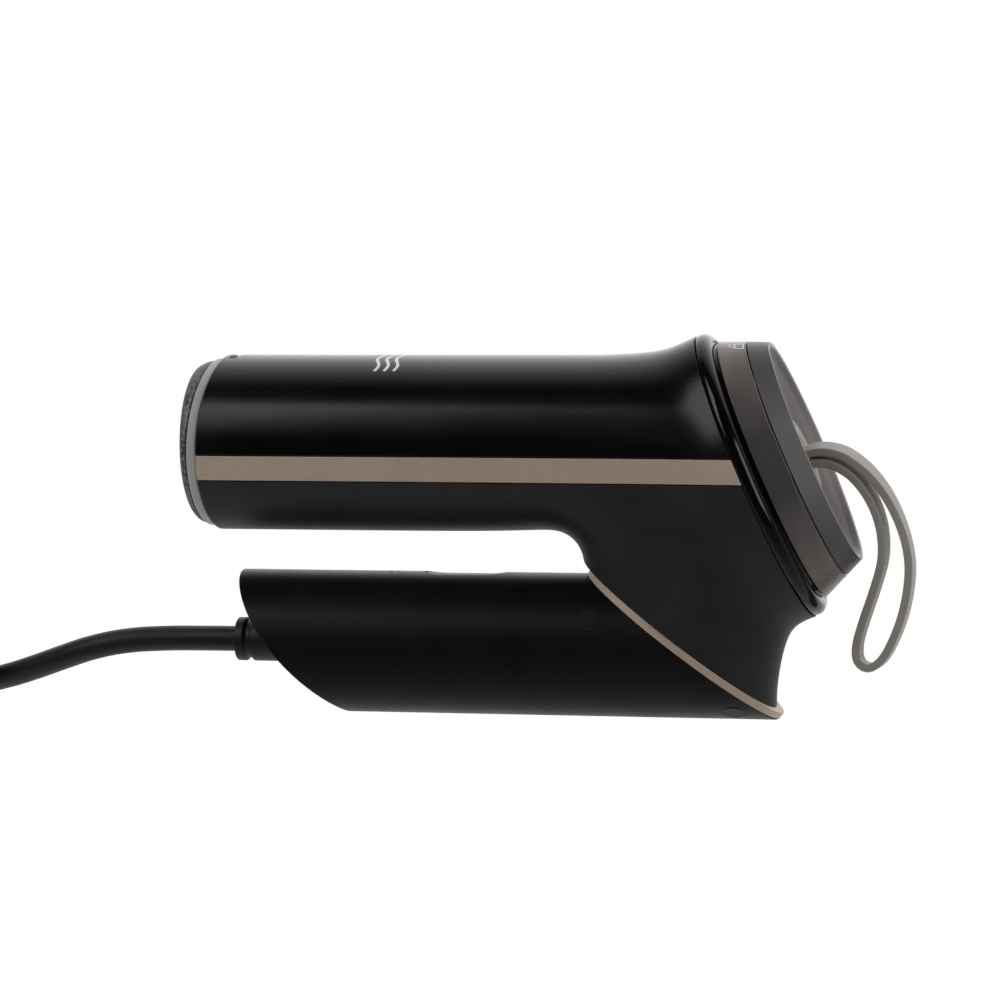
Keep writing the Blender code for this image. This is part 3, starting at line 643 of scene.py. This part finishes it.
def trim(skin, point, normal, below=None):
    """Cut a skin along a plane and keep the side that the normal points away from."""
    point = Vector(point) * MM
    normal = Vector(normal).normalized()
    near = {vertex for vertex in skin.verts if below is None or vertex.co.z < below * MM}
    for vertex in near:
        far = (vertex.co - point).dot(normal)
        if abs(far) < SNAP * MM:
            along = normal - vertex.normal * normal.dot(vertex.normal)
            if along.length > 0.2:
                vertex.co -= along * far / along.length_squared
    shapes = list(near)
    shapes += [item for item in skin.edges[:] + skin.faces[:] if near.issuperset(item.verts)]
    bmesh.ops.bisect_plane(skin, geom=shapes, dist=1e-6, plane_co=point, plane_no=normal,
                           clear_outer=True)


def bow_rim(skin):
    """Bend the straight front end of the tube into its bowed, leaning rim."""
    for vertex in skin.verts:
        x, z = vertex.co.x / MM, vertex.co.z / MM
        share = 1 - min(1.0, max(0.0, (x - RIM_X) / RIM_BLEND))
        vertex.co.x += (rim_x(z) - RIM_X) * share * MM


def rim_x(z):
    """X of the body's front rim at a height."""
    rise = (z - BODY_Z) / BODY_R
    return RIM_X + RIM_SAG * rise ** 2 + RIM_LEAN * rise


def make_shell(name, base, cuts, finish, node, tools=()):
    """One moulded shell: the part of the skin between some planes, with a wall and soft edges."""
    skin = bmesh.new()
    skin.from_mesh(base)
    skin.normal_update()
    for cut in cuts:
        trim(skin, *cut)
    bow_rim(skin)
    bmesh.ops.dissolve_degenerate(skin, dist=0.05 * MM, edges=skin.edges)
    mesh = bpy.data.meshes.new(name)
    skin.to_mesh(mesh)
    skin.free()
    mesh.shade_smooth()
    shell = place(mesh, "housing", finish, finish, node)
    wall = shell.modifiers.new("wall", "SOLIDIFY")
    wall.thickness = WALL * MM
    wall.offset = -1.0
    wall.use_even_offset = True
    settle(shell)
    if tools:
        cut_with(shell, tools)
    edge = shell.modifiers.new("edge", "BEVEL")
    edge.width = SHELL_EDGE * MM
    edge.segments = 2
    edge.limit_method = "ANGLE"
    edge.angle_limit = math.radians(45)
    edge.use_clamp_overlap = False
    edge.harden_normals = True
    settle(shell)


def make_housing():
    """The top cover with its clip slot, the lower housing with its neck and the two trim strips."""
    base = housing_skin()
    front = ((RIM_X, 0, 0), (-1, 0, 0))
    collar = (COLLAR, TANK_OUT)
    fold = (FOLD + FOLD_OUT * (RING_TOP + RING_PLAY), -FOLD_OUT, NECK_TOP)
    low, high = CLIP_SLOT_LOW, CLIP_SLOT_HIGH
    corners = [(low.x, low.y), (high.x, low.y), (high.x, high.y), (low.x, high.y)]
    slot = ring_mesh("slot_tool", [[(x, y, z) for x, y in corners] for z in (low.z, high.z)])
    make_shell("top_cover_shell", base, [front, collar, ((0, 0, STRIP_HIGH_Z + SEAM_HALF), -Z_AXIS)],
               "gloss_black", "top_cover", [slot])
    make_shell("lower_housing_shell", base,
               [front, collar, fold, ((0, 0, STRIP_LOW_Z - SEAM_HALF), Z_AXIS)],
               "satin_black", "lower_housing")
    for word, side in (("left", 1), ("right", -1)):
        make_shell(f"trim_strip_inlay_{word}", base,
                   [front, collar, ((0, 0, STRIP_HIGH_Z - SEAM_HALF), Z_AXIS),
                    ((0, 0, STRIP_LOW_Z + SEAM_HALF), -Z_AXIS), ((0, -5 * side, 0), Y_AXIS * side)],
                   "taupe", f"trim_strip_{word}")
    bpy.data.meshes.remove(base)


def bowed(mesh):
    """Shift a turned piece's points along X so that it follows the body's bowed rim."""
    for vertex in mesh.vertices:
        vertex.co.x += (rim_x(vertex.co.z / MM) - RIM_X) * MM
    return mesh


def make_steam_head():
    """The grey bezel, and the plate with its shallow recess and its steam holes."""
    middle = Vector((0, 0, BODY_Z))
    back = RIM_X - GAP
    front = back - BEZEL_T
    section = fillet([(back, BEZEL_R), (front, BEZEL_R), (front, BEZEL_BORE), (back, BEZEL_BORE)], 0.7,
                     closed=True)
    bezel = bowed(turned_mesh("plate_bezel_ring", middle, X_AXIS, section, closed=True))
    place(bezel, "housing", "grey_ring", "grey_ring", "plate_bezel")

    back = front - GAP
    face = PLATE_FACE_X
    outline = [(back, 0.5), (back, PLATE_R), (face + 1.8, PLATE_R - 0.1), (face + 0.5, PLATE_R - 1.6),
               (face, PLATE_R - 4.6), (face + 0.25, PLATE_R - 7.5), (face + 0.3, 4.0), (face + 0.3, 0.5)]
    mesh = turned_mesh("steam_plate_face", middle, X_AXIS, fillet(outline, 0.8))
    for vertex in mesh.vertices:
        depth = (vertex.co.x / MM - face) / (back - face)
        vertex.co.x += (rim_x(vertex.co.z / MM) - RIM_X) * MM * smoothstep(depth)
    plate = place(mesh, "housing", "plate_metal", "plate_metal", "steam_plate")
    drill = [(face - 3.2, 2.2), (face + 0.3, 1.35), (face + 0.9, 1.1), (face + 3.0, 1.1)]
    cut_with(plate, [turned_mesh("drill", centre, X_AXIS, drill, count=20)
                     for centre in plate_hole_centres()])


def plate_hole_centres():
    """Centres of the steam holes, ring by ring."""
    for radius, count in PLATE_HOLES:
        for turn in turns(count):
            yield Vector((0.0, radius * math.sin(turn), BODY_Z + radius * math.cos(turn)))


# ---- collar and tank

def collar_ring(far, semi_a, semi_b):
    """An oval round the collar's axis, this far along the tank."""
    return oval(COLLAR + TANK_OUT * far, TANK_UP, -Y_AXIS, semi_a, semi_b, COLLAR_COUNT)


def collar_rings(section):
    """Rings round the collar, from (distance along the tank, inset from the collar's oval)."""
    return [collar_ring(far, COLLAR_A - inset, COLLAR_B - inset) for far, inset in section]


def tank_inset(far):
    """How far the tank's tapered side lies inside the collar's oval."""
    return TANK_INSET + TANK_TAPER * (far - TANK_MOUTH)


def make_collar():
    """The rounded bead between the body and the tank, with the groove that the tank sits in."""
    bead = smooth_path([(0.3, 0.25, 0), (1.0, -0.05, 0), (2.2, 0.05, 0), (3.3, 0.75, 0), (4.0, 1.8, 0),
                        (4.25, 2.9, 0)], 0.3)
    section = [(point.x, point.y) for point in bead]
    section += fillet([(4.25, 2.9), (3.6, 3.4), (3.6, 4.1), (5.0, 4.5), (5.0, 6.2), (0.3, 6.2)], 0.3)[1:]
    mesh = ring_mesh("collar_bead", collar_rings(section), True)
    place(mesh, "housing", "collar_black", "gloss_black", "collar_ring")


def make_tank():
    """The tank's tapered wall with its outlet, and the end cover with its dish."""
    section = fillet([(-12.0, 8.0), (-11.0, 7.2), (TANK_MOUTH, 6.8), (TANK_MOUTH, TANK_INSET),
                      (12.8, 7.1), (12.8, 8.9), (6.2, 8.7), (-10.0, 9.1)], 0.35, closed=True)
    mesh = ring_mesh("tank_vessel", collar_rings(section), True)
    vessel = place(mesh, "tank", "smoked_body", "smoked", "tank_body")
    port = COLLAR - TANK_UP * PORT_DROP
    cut_with(vessel, [turned_mesh("port_tool", port, TANK_OUT, [(-16, 3.0), (-6, 3.0)], count=32)])

    rings = collar_rings(fillet([(13.1, 9.0), (13.1, 7.2), (18.7, 9.7), (18.5, 10.9), (16.9, 12.3),
                                 (15.2, 14.4)], 0.3))
    rings += [collar_ring(*level) for level in (
        (13.9, 25.0, 13.6), (13.3, 20.0, 13.1), (12.95, 15.0, 12.6), (12.9, 8.8, 8.8), (12.8, 8.4, 8.4),
        (12.5, 8.3, 8.3), (11.1, 8.3, 8.3), (11.1, 14.5, 12.2), (12.2, 24.6, 13.4))]
    rings += collar_rings([(14.6, 14.2), (17.0, 12.2), (16.7, 10.9)])
    mesh = ring_mesh("tank_end_cover", rings, True)
    place(mesh, "tank", "smoked_cover", "smoked", "tank_cover")
    make_weld()
    make_filler()


def make_weld():
    """The thin, slightly wavy bead of the joint between the tank and its end cover."""
    rings = []
    for turn in turns(200):
        wave = 0.12 * math.sin(9 * turn) + 0.08 * math.sin(23 * turn + 1.0)
        drift = 0.5 * smoothstep((abs(math.degrees(turn) - 150) - 60) / -50)
        far = WELD_AT + wave - drift
        inset = tank_inset(far)
        along = TANK_UP * math.cos(turn)
        across = -Y_AXIS * math.sin(turn)
        middle = COLLAR + TANK_OUT * far + along * (COLLAR_A - inset) + across * (COLLAR_B - inset)
        outward = (along + across).normalized()
        rings.append([middle + TANK_OUT * 0.14 * math.cos(a) + outward * 0.09 * math.sin(a)
                      for a in turns(8)])
    place(ring_mesh("tank_weld_bead", rings, True), "tank", "weld", "smoked")


def make_filler():
    """The silicone plug in the end cover's middle."""
    outline = fillet([(8.4, 0.4), (8.4, 7.2), (9.4, 7.9), (13.2, 7.9), (13.2, 11.2), (13.8, 11.5),
                      (15.0, 11.5), (15.6, 10.8), (15.6, 6.5), (15.2, 5.8), (15.2, 0.4)], 0.4)
    mesh = turned_mesh("filler_plug_disc", COLLAR, TANK_OUT, outline)
    place(mesh, "filler", "silicone", "silicone", "filler_plug")


def make_strap():
    """A flat silicone loop with soft edges, twisted a little near both ends."""
    half_t = STRAP_T / 2
    half_w = STRAP_W / 2
    corner = fillet([(-half_t, -half_w), (half_t, -half_w), (half_t, half_w), (-half_t, half_w)],
                    0.55, closed=True)
    path = smooth_path([(x, 0, z) for x, z in STRAP_PATH], 1.2)
    rings = []
    last = len(path) - 1
    for index, point in enumerate(path):
        ahead = path[min(index + 1, last)] - path[max(index - 1, 0)]
        across = Vector((-ahead.z, 0.0, ahead.x)).normalized()
        twist = STRAP_TWIST * (smoothstep(1 - index / last / STRAP_FADE)
                               - smoothstep(1 - (1 - index / last) / STRAP_FADE))
        flat = across * math.cos(twist) - Y_AXIS * math.sin(twist)
        side = Y_AXIS * math.cos(twist) + across * math.sin(twist)
        rings.append([point + flat * a + side * s for a, s in corner])
    place(ring_mesh("strap_band", rings), "filler", "silicone", "silicone", "strap_loop")


# ---- fold joint and handle

def make_joint_ring():
    """The ring between the neck and the handle, flat where the steamer stands on it."""
    rings = []
    deep = FOLD_A - HUB_BORE
    section = fillet([(RING_BASE, 0.0), (RING_TOP, 0.0), (RING_TOP, deep), (RING_BASE, deep)], 0.35,
                     closed=True)
    for far, inset in section:
        share = inset / deep
        rings.append(oval(FOLD + FOLD_OUT * far, FOLD_DOWN, Y_AXIS, FOLD_A - inset,
                          HANDLE_R - share * (HANDLE_R - HUB_BORE)))
    mesh = ring_mesh("joint_trim_ring", rings, True)
    for vertex in mesh.vertices:
        vertex.co.z = max(vertex.co.z, GAP * MM)
    place(mesh, "handle", "taupe", "taupe", "joint_ring")


def end_x(z):
    """X of the handle's slanted, bowed end at a height."""
    down = END_BOTTOM - END_TOP
    out = Vector((down.y, -down.x)).normalized()
    heights, places = [], []
    for index in range(END_STEPS + 1):
        part = -END_SPARE + (1 + 2 * END_SPARE) * index / END_STEPS
        spot = END_TOP + down * part + out * END_SAG * (1 - (2 * part - 1) ** 2)
        heights.append(-spot.y)
        places.append(spot.x)
    return float(np.interp(-z, heights, places))


def fold_x(z, depth):
    """X where the handle's skin meets a plane this deep below the fold plane, at a height."""
    return FOLD.x - (depth + (z - HANDLE_Z) * FOLD_OUT.z) / FOLD_OUT.x


def sleeve_ring(radius, reach, share):
    """A ring of the sleeve: share 0 is at its slanted end and 1 at the joint ring, moved by reach."""
    ring = []
    for turn in turns(SLEEVE_COUNT):
        y = radius * math.sin(turn)
        z = HANDLE_Z + radius * math.cos(turn)
        if radius > HANDLE_R - 1.0:
            z = max(z, 0.0)
        start = end_x(z)
        ring.append(Vector((start + (fold_x(z, -RING_BASE) - start) * share + reach, y, z)))
    return ring


def screw_frame(x, angle, side):
    """Centre on the handle's axis and outward direction of one screw."""
    turn = math.radians(angle)
    return Vector((x, 0.0, HANDLE_Z)), Vector((0.0, side * math.cos(turn), math.sin(turn)))


def stadium(length, width, z, count=12):
    """Level outline with round ends about the button's middle."""
    reach = length / 2 - width / 2
    points = []
    for end, start in ((1, -90), (-1, 90)):
        for index in range(count + 1):
            turn = math.radians(start + 180 * index / count)
            points.append(Vector((BUTTON_X + end * reach + width / 2 * math.cos(turn),
                                  width / 2 * math.sin(turn), z)))
    return points


def sleeve_rings():
    """The sleeve's section as rings: inside the slanted end, out, along to the joint ring and in."""
    inner = HANDLE_R - WALL
    soft = SLEEVE_EDGE
    levels = [(inner, 8.0, 0.0), (inner, 0.0, 0.0), (HANDLE_R - soft, 0.0, 0.0)]
    for step in range(1, 5):
        turn = math.radians(90 * step / 4)
        levels.append((HANDLE_R - soft * (1 - math.sin(turn)), soft * (1 - math.cos(turn)), 0.0))
    levels.append((HANDLE_R, 0.5, 0.0))
    levels += [(HANDLE_R, 0.0, step / SLEEVE_STEPS) for step in range(1, SLEEVE_STEPS)]
    levels += [(HANDLE_R, -0.3, 1.0), (HANDLE_R, -0.15, 1.0), (HANDLE_R - 0.1, 0.0, 1.0),
               (inner, 0.0, 1.0), (inner, -8.0, 1.0)]
    return [sleeve_ring(*level) for level in levels]


def make_sleeve():
    """The grip's tube with holes for the button and the lamp, and its flush screw covers."""
    mesh = ring_mesh("handle_shell", sleeve_rings(), True)
    sleeve = place(mesh, "handle", "handle_black", "satin_black", "handle_sleeve")
    tools = [ring_mesh("button_tool", [stadium(BUTTON_L, BUTTON_W, z) for z in (30.0, 45.0)]),
             turned_mesh("lens_tool", Vector((LENS_X, 0, 0)), Z_AXIS, [(30, LENS_BORE), (45, LENS_BORE)],
                         count=32)]
    cover = fillet([(19.3, 0.3), (19.3, SCREW_COVER_R), (20.42, SCREW_COVER_R), (20.42, 0.3)], 0.1)
    for row, (x, angle) in enumerate(SCREW_ANGLES, 1):
        for word, side in (("left", -1), ("right", 1)):
            centre, out = screw_frame(x, angle, side)
            tools.append(turned_mesh("screw_tool", centre, out, [(14, SCREW_HOLE_R), (26, SCREW_HOLE_R)],
                                     count=48))
            mesh = turned_mesh(f"screw_cover_{word}_{row}", centre, out, cover, count=48)
            place(mesh, "handle", "handle_black", "satin_black", f"screw_plug_{word}_{row}")
    cut_with(sleeve, tools)


def make_end_cap():
    """The cap in the handle's slanted end and the strain relief of the lead in it."""
    outer = HANDLE_R - WALL - 0.25
    rings = [sleeve_ring(radius, reach, 0.0) for radius, reach in (
        (RELIEF_BORE, 3.0), (outer, 3.0), (outer, -0.4), (outer - 0.25, -0.8), (outer - 0.8, -1.0),
        (RELIEF_BORE + 0.6, -1.0), (RELIEF_BORE, -0.6))]
    mesh = ring_mesh("end_cap_disc", rings, True)
    place(mesh, "handle", "handle_black", "satin_black", "handle_end_cap")
    outline = [(CORD_EXIT[0], 0.5), (CORD_EXIT[0], 6.3), (-90.3, 6.35), (-89.8, 5.5), (-88.4, 5.5),
               (-88.0, 6.35), (-70.0, 6.35), (-66.0, 4.6), (-66.0, 0.5)]
    axis = Vector((0, 0, CORD_EXIT[2]))
    mesh = turned_mesh("lead_relief", axis, X_AXIS, fillet(outline, 0.4), count=64)
    place(mesh, "handle", "cord_black", "cord_black", "strain_relief")


def make_controls():
    """The steam button, a little under the grip's crown and slightly dished, and the lamp's lens."""
    rings = []
    for inset, drop in ((0.3, 7.0), (0.3, 0.35), (0.38, 0.14), (0.55, 0.03), (0.8, 0.0), (1.6, 0.08),
                        (2.6, 0.3), (3.6, 0.5), (4.6, 0.6)):
        ring = stadium(BUTTON_L - 2 * inset, BUTTON_W - 2 * inset, 0.0)
        for point in ring:
            point.z = HANDLE_Z + math.sqrt(HANDLE_R ** 2 - point.y ** 2) - drop - BUTTON_SINK
        rings.append(ring)
    mesh = ring_mesh("button_cap", rings)
    place(mesh, "button", "handle_black", "satin_black", "steam_button")
    dome = fillet([(36.0, 0.1), (36.0, 1.75), (40.3, 1.75), (40.62, 0.1)], 0.35)
    lens = turned_mesh("lamp_lens", Vector((LENS_X, 0, 0)), Z_AXIS, dome, count=32)
    place(lens, "handle", "white_plastic", "white_plastic", "led_lens")


def make_spring():
    """The coil spring under the button."""
    steps = 24
    last = SPRING_COILS * steps
    wire = SPRING_WIRE
    rise = SPRING_HIGH - SPRING_LOW - 2 * wire
    rings = []
    for index in range(last + 1):
        turn = 2 * math.pi * index / steps
        out = Vector((math.cos(turn), math.sin(turn), 0.0))
        axis = Vector((SPRING_X, 0.0, SPRING_LOW + wire + rise * index / last))
        rings.append(oval(axis + out * SPRING_R, out, Z_AXIS, wire, wire, 10))
    mesh = ring_mesh("return_spring", rings)
    spring = place(mesh, "handle", "steel", "steel", "button_spring")
    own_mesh(spring)


# ---- printed marks

def make_print(name, body, path, width, slot):
    """A thin printed line along points that each come with the surface's normal."""
    rings = []
    for index, (point, normal) in enumerate(path):
        ahead = path[min(index + 1, len(path) - 1)][0] - path[max(index - 1, 0)][0]
        across = normal.cross(ahead).normalized() * width / 2
        rings.append([point + across * side + normal * rise for side, rise in (
            (-1, -INK), (1, -INK), (1, INK), (-1, INK))])
    place(ring_mesh(name, rings), body, "print_white", slot)


def make_steam_mark():
    """Three wavy lines across the top of the body."""
    for row in range(3):
        path = []
        for index in range(MARK_STEPS + 1):
            share = index / MARK_STEPS
            turn = math.radians(-MARK_SPREAD + 2 * MARK_SPREAD * share)
            out = Vector((0.0, math.sin(turn), math.cos(turn)))
            x = MARK_X + MARK_PITCH * row + 0.7 * math.sin(6 * math.pi * share)
            path.append((Vector((x, 0.0, BODY_Z)) + out * BODY_R, out))
        make_print(f"steam_mark_{row}", "housing", path, MARK_W, "gloss_black")


def tank_spot(far, side):
    """Point and normal of the tank's skin, this far along it and to the side of its top."""
    inset = tank_inset(far)
    semi_a, semi_b = COLLAR_A - inset, COLLAR_B - inset
    turn = math.asin(-side / semi_b)
    along = TANK_UP * math.cos(turn)
    across = -Y_AXIS * math.sin(turn)
    normal = (along / semi_a + across / semi_b).normalized() + TANK_OUT * TANK_TAPER
    return COLLAR + TANK_OUT * far + along * semi_a + across * semi_b, normal.normalized()


def stepped(points, steps=8):
    """Even steps between the points of a line, to follow a curved surface."""
    path = [points[0]]
    for start, end in zip(points, points[1:]):
        for index in range(1, steps + 1):
            path.append(tuple(a + (b - a) * index / steps for a, b in zip(start, end)))
    return path


def make_padlock_mark():
    """The outline of a padlock near the top of the tank."""
    case = [(9.9, -7.5), (12.1, -7.5), (12.1, -4.7), (9.9, -4.7), (9.9, -7.5)]
    bow = []
    for index in range(13):
        turn = math.pi * index / 12
        bow.append((9.9 - 1.5 * math.sin(turn), -6.1 - 1.0 * math.cos(turn)))
    for word, line in (("case", stepped(case)), ("bow", bow)):
        path = [tank_spot(far, side) for far, side in line]
        make_print(f"padlock_{word}", "tank", path, LOCK_LINE_W, "smoked")


def make_pieces():
    """Every piece of the steamer itself, without its lead."""
    make_housing()
    make_steam_head()
    make_collar()
    make_tank()
    make_strap()
    make_joint_ring()
    make_sleeve()
    make_end_cap()
    make_controls()
    make_spring()
    make_steam_mark()
    make_padlock_mark()


# ---- mains lead

def hank_point(part, share, ring, layer):
    """Centre of the lead in one part of the hank: far run, left fold, near run or right fold."""
    radius = HANK_FOLD + HANK_PITCH * (1 - ring)
    z = HANK_LOW + CORD_R + HANK_PITCH * layer
    turn = math.pi * share
    if part == 0:
        return Vector((HANK_RIGHT - HANK_RUN * share, HANK_Y + radius, z))
    if part == 1:
        return Vector((HANK_LEFT - radius * math.sin(turn), HANK_Y + radius * math.cos(turn), z))
    if part == 2:
        return Vector((HANK_LEFT + HANK_RUN * share, HANK_Y - radius, z))
    return Vector((HANK_RIGHT + radius * math.sin(turn), HANK_Y - radius * math.cos(turn), z))


def lead_points():
    """The lead's centreline: out of the handle, down to the floor, round the hank, to the plug."""
    points = [Vector(point) for point in CORD_ROUTE]
    points.insert(0, points[0] + X_AXIS * CORD_TUCK)
    points.append(hank_point(0, 0.0, 0, 0))
    for number, (start, end) in enumerate(zip(HANK_PLACES, HANK_PLACES[1:])):
        part = number % 4
        steps = FOLD_STEPS if part % 2 else RUN_STEPS
        for index in range(1, steps + 1):
            share = index / steps
            blend = smoothstep(share)
            ring = start[0] + (end[0] - start[0]) * blend
            layer = start[1] + (end[1] - start[1]) * blend
            points.append(hank_point(part, share, ring, layer))
    for index in range(1, 9):
        share = index / 8
        y = HANK_Y - HANK_FOLD * (1 - smoothstep(share))
        points.append(Vector((HANK_LEFT + (TAIL_RUN + 2.0) * share, y, PLUG_Z)))
    return points


def make_lead():
    """The lead as one curve, with the tie and the plug that lie with it."""
    curve = bpy.data.curves.new("mains_lead", "CURVE")
    curve.dimensions = "3D"
    curve.bevel_depth = CORD_R * MM
    curve.bevel_resolution = 5
    curve.resolution_u = 4
    curve.use_fill_caps = True
    points = lead_points()
    spline = curve.splines.new("BEZIER")
    spline.bezier_points.add(len(points) - 1)
    for target, point in zip(spline.bezier_points, points):
        target.co = point * MM
        target.handle_left_type = "AUTO"
        target.handle_right_type = "AUTO"
    lead = place(curve, "handle", "cord_black", "cord_black", "cord_lead", "cord_hank", "cord_tail")
    make_tie()
    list(make_plug())


def make_tie():
    """A flat band with round corners, round both runs of the hank."""
    middle = (HANK_LEFT + HANK_RIGHT) / 2
    rings = []
    edges = fillet([(-TIE_W / 2, 0.0), (-TIE_W / 2, TIE_T), (TIE_W / 2, TIE_T), (TIE_W / 2, 0.0)], 0.25,
                   closed=True)
    for along, thick in edges:
        grow = TIE_PLAY + thick
        reach = HANK_OUTER + grow
        low, high = HANK_LOW - grow, HANK_TOP + grow
        corners = fillet([(-reach, low), (reach, low), (reach, high), (-reach, high)], 3.0 + thick,
                         closed=True, steps=8)
        rings.append([(middle + along, HANK_Y + y, z) for y, z in corners])
    mesh = ring_mesh("tie_band", rings, True)
    return place(mesh, "handle", "silicone", "silicone", "hank_tie")


def boxy(value):
    """A cosine or sine pushed outward, for a section between an oval and a box."""
    return math.copysign(abs(value) ** 0.6, value)


def make_plug():
    """The two-pin plug with its ribbed tail and sleeved pins; returns its pieces."""
    levels = [(0.0, 4.3, 4.3), (6.0, 4.9, 4.9), (12.0, 5.4, 5.4), (19.0, 6.0, 6.0), (22.0, 8.8, 6.7),
              (28.0, 15.3, 7.0), (38.0, 17.3, 7.0), (50.0, 17.1, 7.0), (54.0, 16.3, 6.5), (55.0, 14.8, 5.8)]
    rings = []
    for far, half_w, half_h in smooth_path(levels, 0.5):
        pinch = 0.45 * smoothstep(math.sin(far * 2.1) * 3 - 1) if 2 < far < 18 else 0.0
        rings.append([(PLUG_X + far, HANK_Y + (half_w - pinch) * boxy(math.cos(turn)),
                       PLUG_Z + (half_h - pinch) * boxy(math.sin(turn))) for turn in turns(64)])
    mesh = ring_mesh("plug_moulding", rings)
    pieces = [place(mesh, "handle", "cord_black", "cord_black", "mains_plug")]
    root, end = PIN_ROOT - 1, PIN_ROOT + 10
    pin = fillet([(root, 0.2), (root, PIN_R), (PIN_TIP, PIN_R), (PIN_TIP, 0.2)], 0.8)
    sleeve = [(root, PIN_R + 0.08), (end, PIN_R + 0.08), (end, PIN_R - 0.4), (root, PIN_R - 0.4)]
    for word, side in (("left", 1), ("right", -1)):
        origin = Vector((PLUG_X, HANK_Y + side * PIN_SPACING / 2, PLUG_Z))
        mesh = turned_mesh(f"mains_pin_{word}", origin, X_AXIS, pin, count=32)
        pieces.append(place(mesh, "handle", "brass", "brass", f"plug_pin_{word}"))
        mesh = turned_mesh(f"pin_sleeve_{word}", origin, X_AXIS, sleeve, closed=True, count=32)
        pieces.append(place(mesh, "handle", "cord_black", "cord_black"))
    return pieces


# ---- kept CAD nodes

def dress_nodes():
    """Give every CAD node the finish of its slot, since those inside keep their CAD shape."""
    for node in frame["nodes"].values():
        for holder in node.material_slots:
            slot = holder.material.name.split(".")[0]
            holder.material = FINISHES["smoked_body" if slot == "smoked" else slot]


# ---- studio

def make_camera():
    """A long lens, a little to the right of the near side and a little above it."""
    data = bpy.data.cameras.new("camera")
    data.lens = CAMERA_LENS
    data.sensor_width = 36.0
    data.clip_start = 0.01
    camera = bpy.data.objects.new("camera", data)
    bpy.context.collection.objects.link(camera)
    turn, rise = math.radians(CAMERA_AZIMUTH), math.radians(CAMERA_RISE)
    back = Vector((math.sin(turn) * math.cos(rise), -math.cos(turn) * math.cos(rise), math.sin(rise)))
    camera.location = CAMERA_AIM + back * CAMERA_RANGE
    camera.rotation_euler = back.to_track_quat("Z", "Y").to_euler()
    bpy.context.scene.camera = camera


def soft_light(name, place_at, aim, width, height, power):
    """A rectangular lamp turned towards a point."""
    data = bpy.data.lights.new(name, "AREA")
    data.shape = "RECTANGLE"
    data.size = width
    data.size_y = height
    data.energy = power
    light = bpy.data.objects.new(name, data)
    bpy.context.collection.objects.link(light)
    light.location = place_at
    light.rotation_euler = (Vector(place_at) - Vector(aim)).to_track_quat("Z", "Y").to_euler()


def make_backdrop():
    """White all round; its light comes from two broad glows behind, one above and one below."""
    world = bpy.data.worlds.new("studio")
    bpy.context.scene.world = world
    world.use_nodes = True
    tree = world.node_tree
    view = tree.nodes.new("ShaderNodeTexCoord").outputs["Generated"]
    above = mapped(tree, dotted(tree, view, GLOW_ABOVE), 0.42, 1.0, AIR_LIGHT, ABOVE_LIGHT)
    below = mapped(tree, dotted(tree, view, GLOW_BELOW), -0.35, 0.85, AIR_LIGHT, BELOW_LIGHT)
    brighter = tree.nodes.new("ShaderNodeMath")
    brighter.operation = "MAXIMUM"
    tree.links.new(above, brighter.inputs[0])
    tree.links.new(below, brighter.inputs[1])
    seen = tree.nodes.new("ShaderNodeMix")
    seen.inputs["B"].default_value = 1.0
    tree.links.new(tree.nodes.new("ShaderNodeLightPath").outputs["Is Camera Ray"], seen.inputs["Factor"])
    tree.links.new(brighter.outputs["Value"], seen.inputs["A"])
    air = tree.nodes["Background"]
    air.inputs["Color"].default_value = (1.0, 1.0, 1.0, 1.0)
    tree.links.new(seen.outputs["Result"], air.inputs["Strength"])


def make_studio():
    """The backdrop and its two soft lamps."""
    make_backdrop()
    soft_light("front_left", (-0.68, -0.77, 0.72), (-0.05, 0.0, 0.07), 0.7, 0.75, 5.6)
    soft_light("right", (0.9, -0.35, 0.45), (0.07, 0.0, 0.07), 0.5, 0.5, 2.6)
    bpy.context.scene.view_settings.view_transform = "Standard"


make_camera()
make_lead()
dress_nodes()
make_pieces()
make_studio()
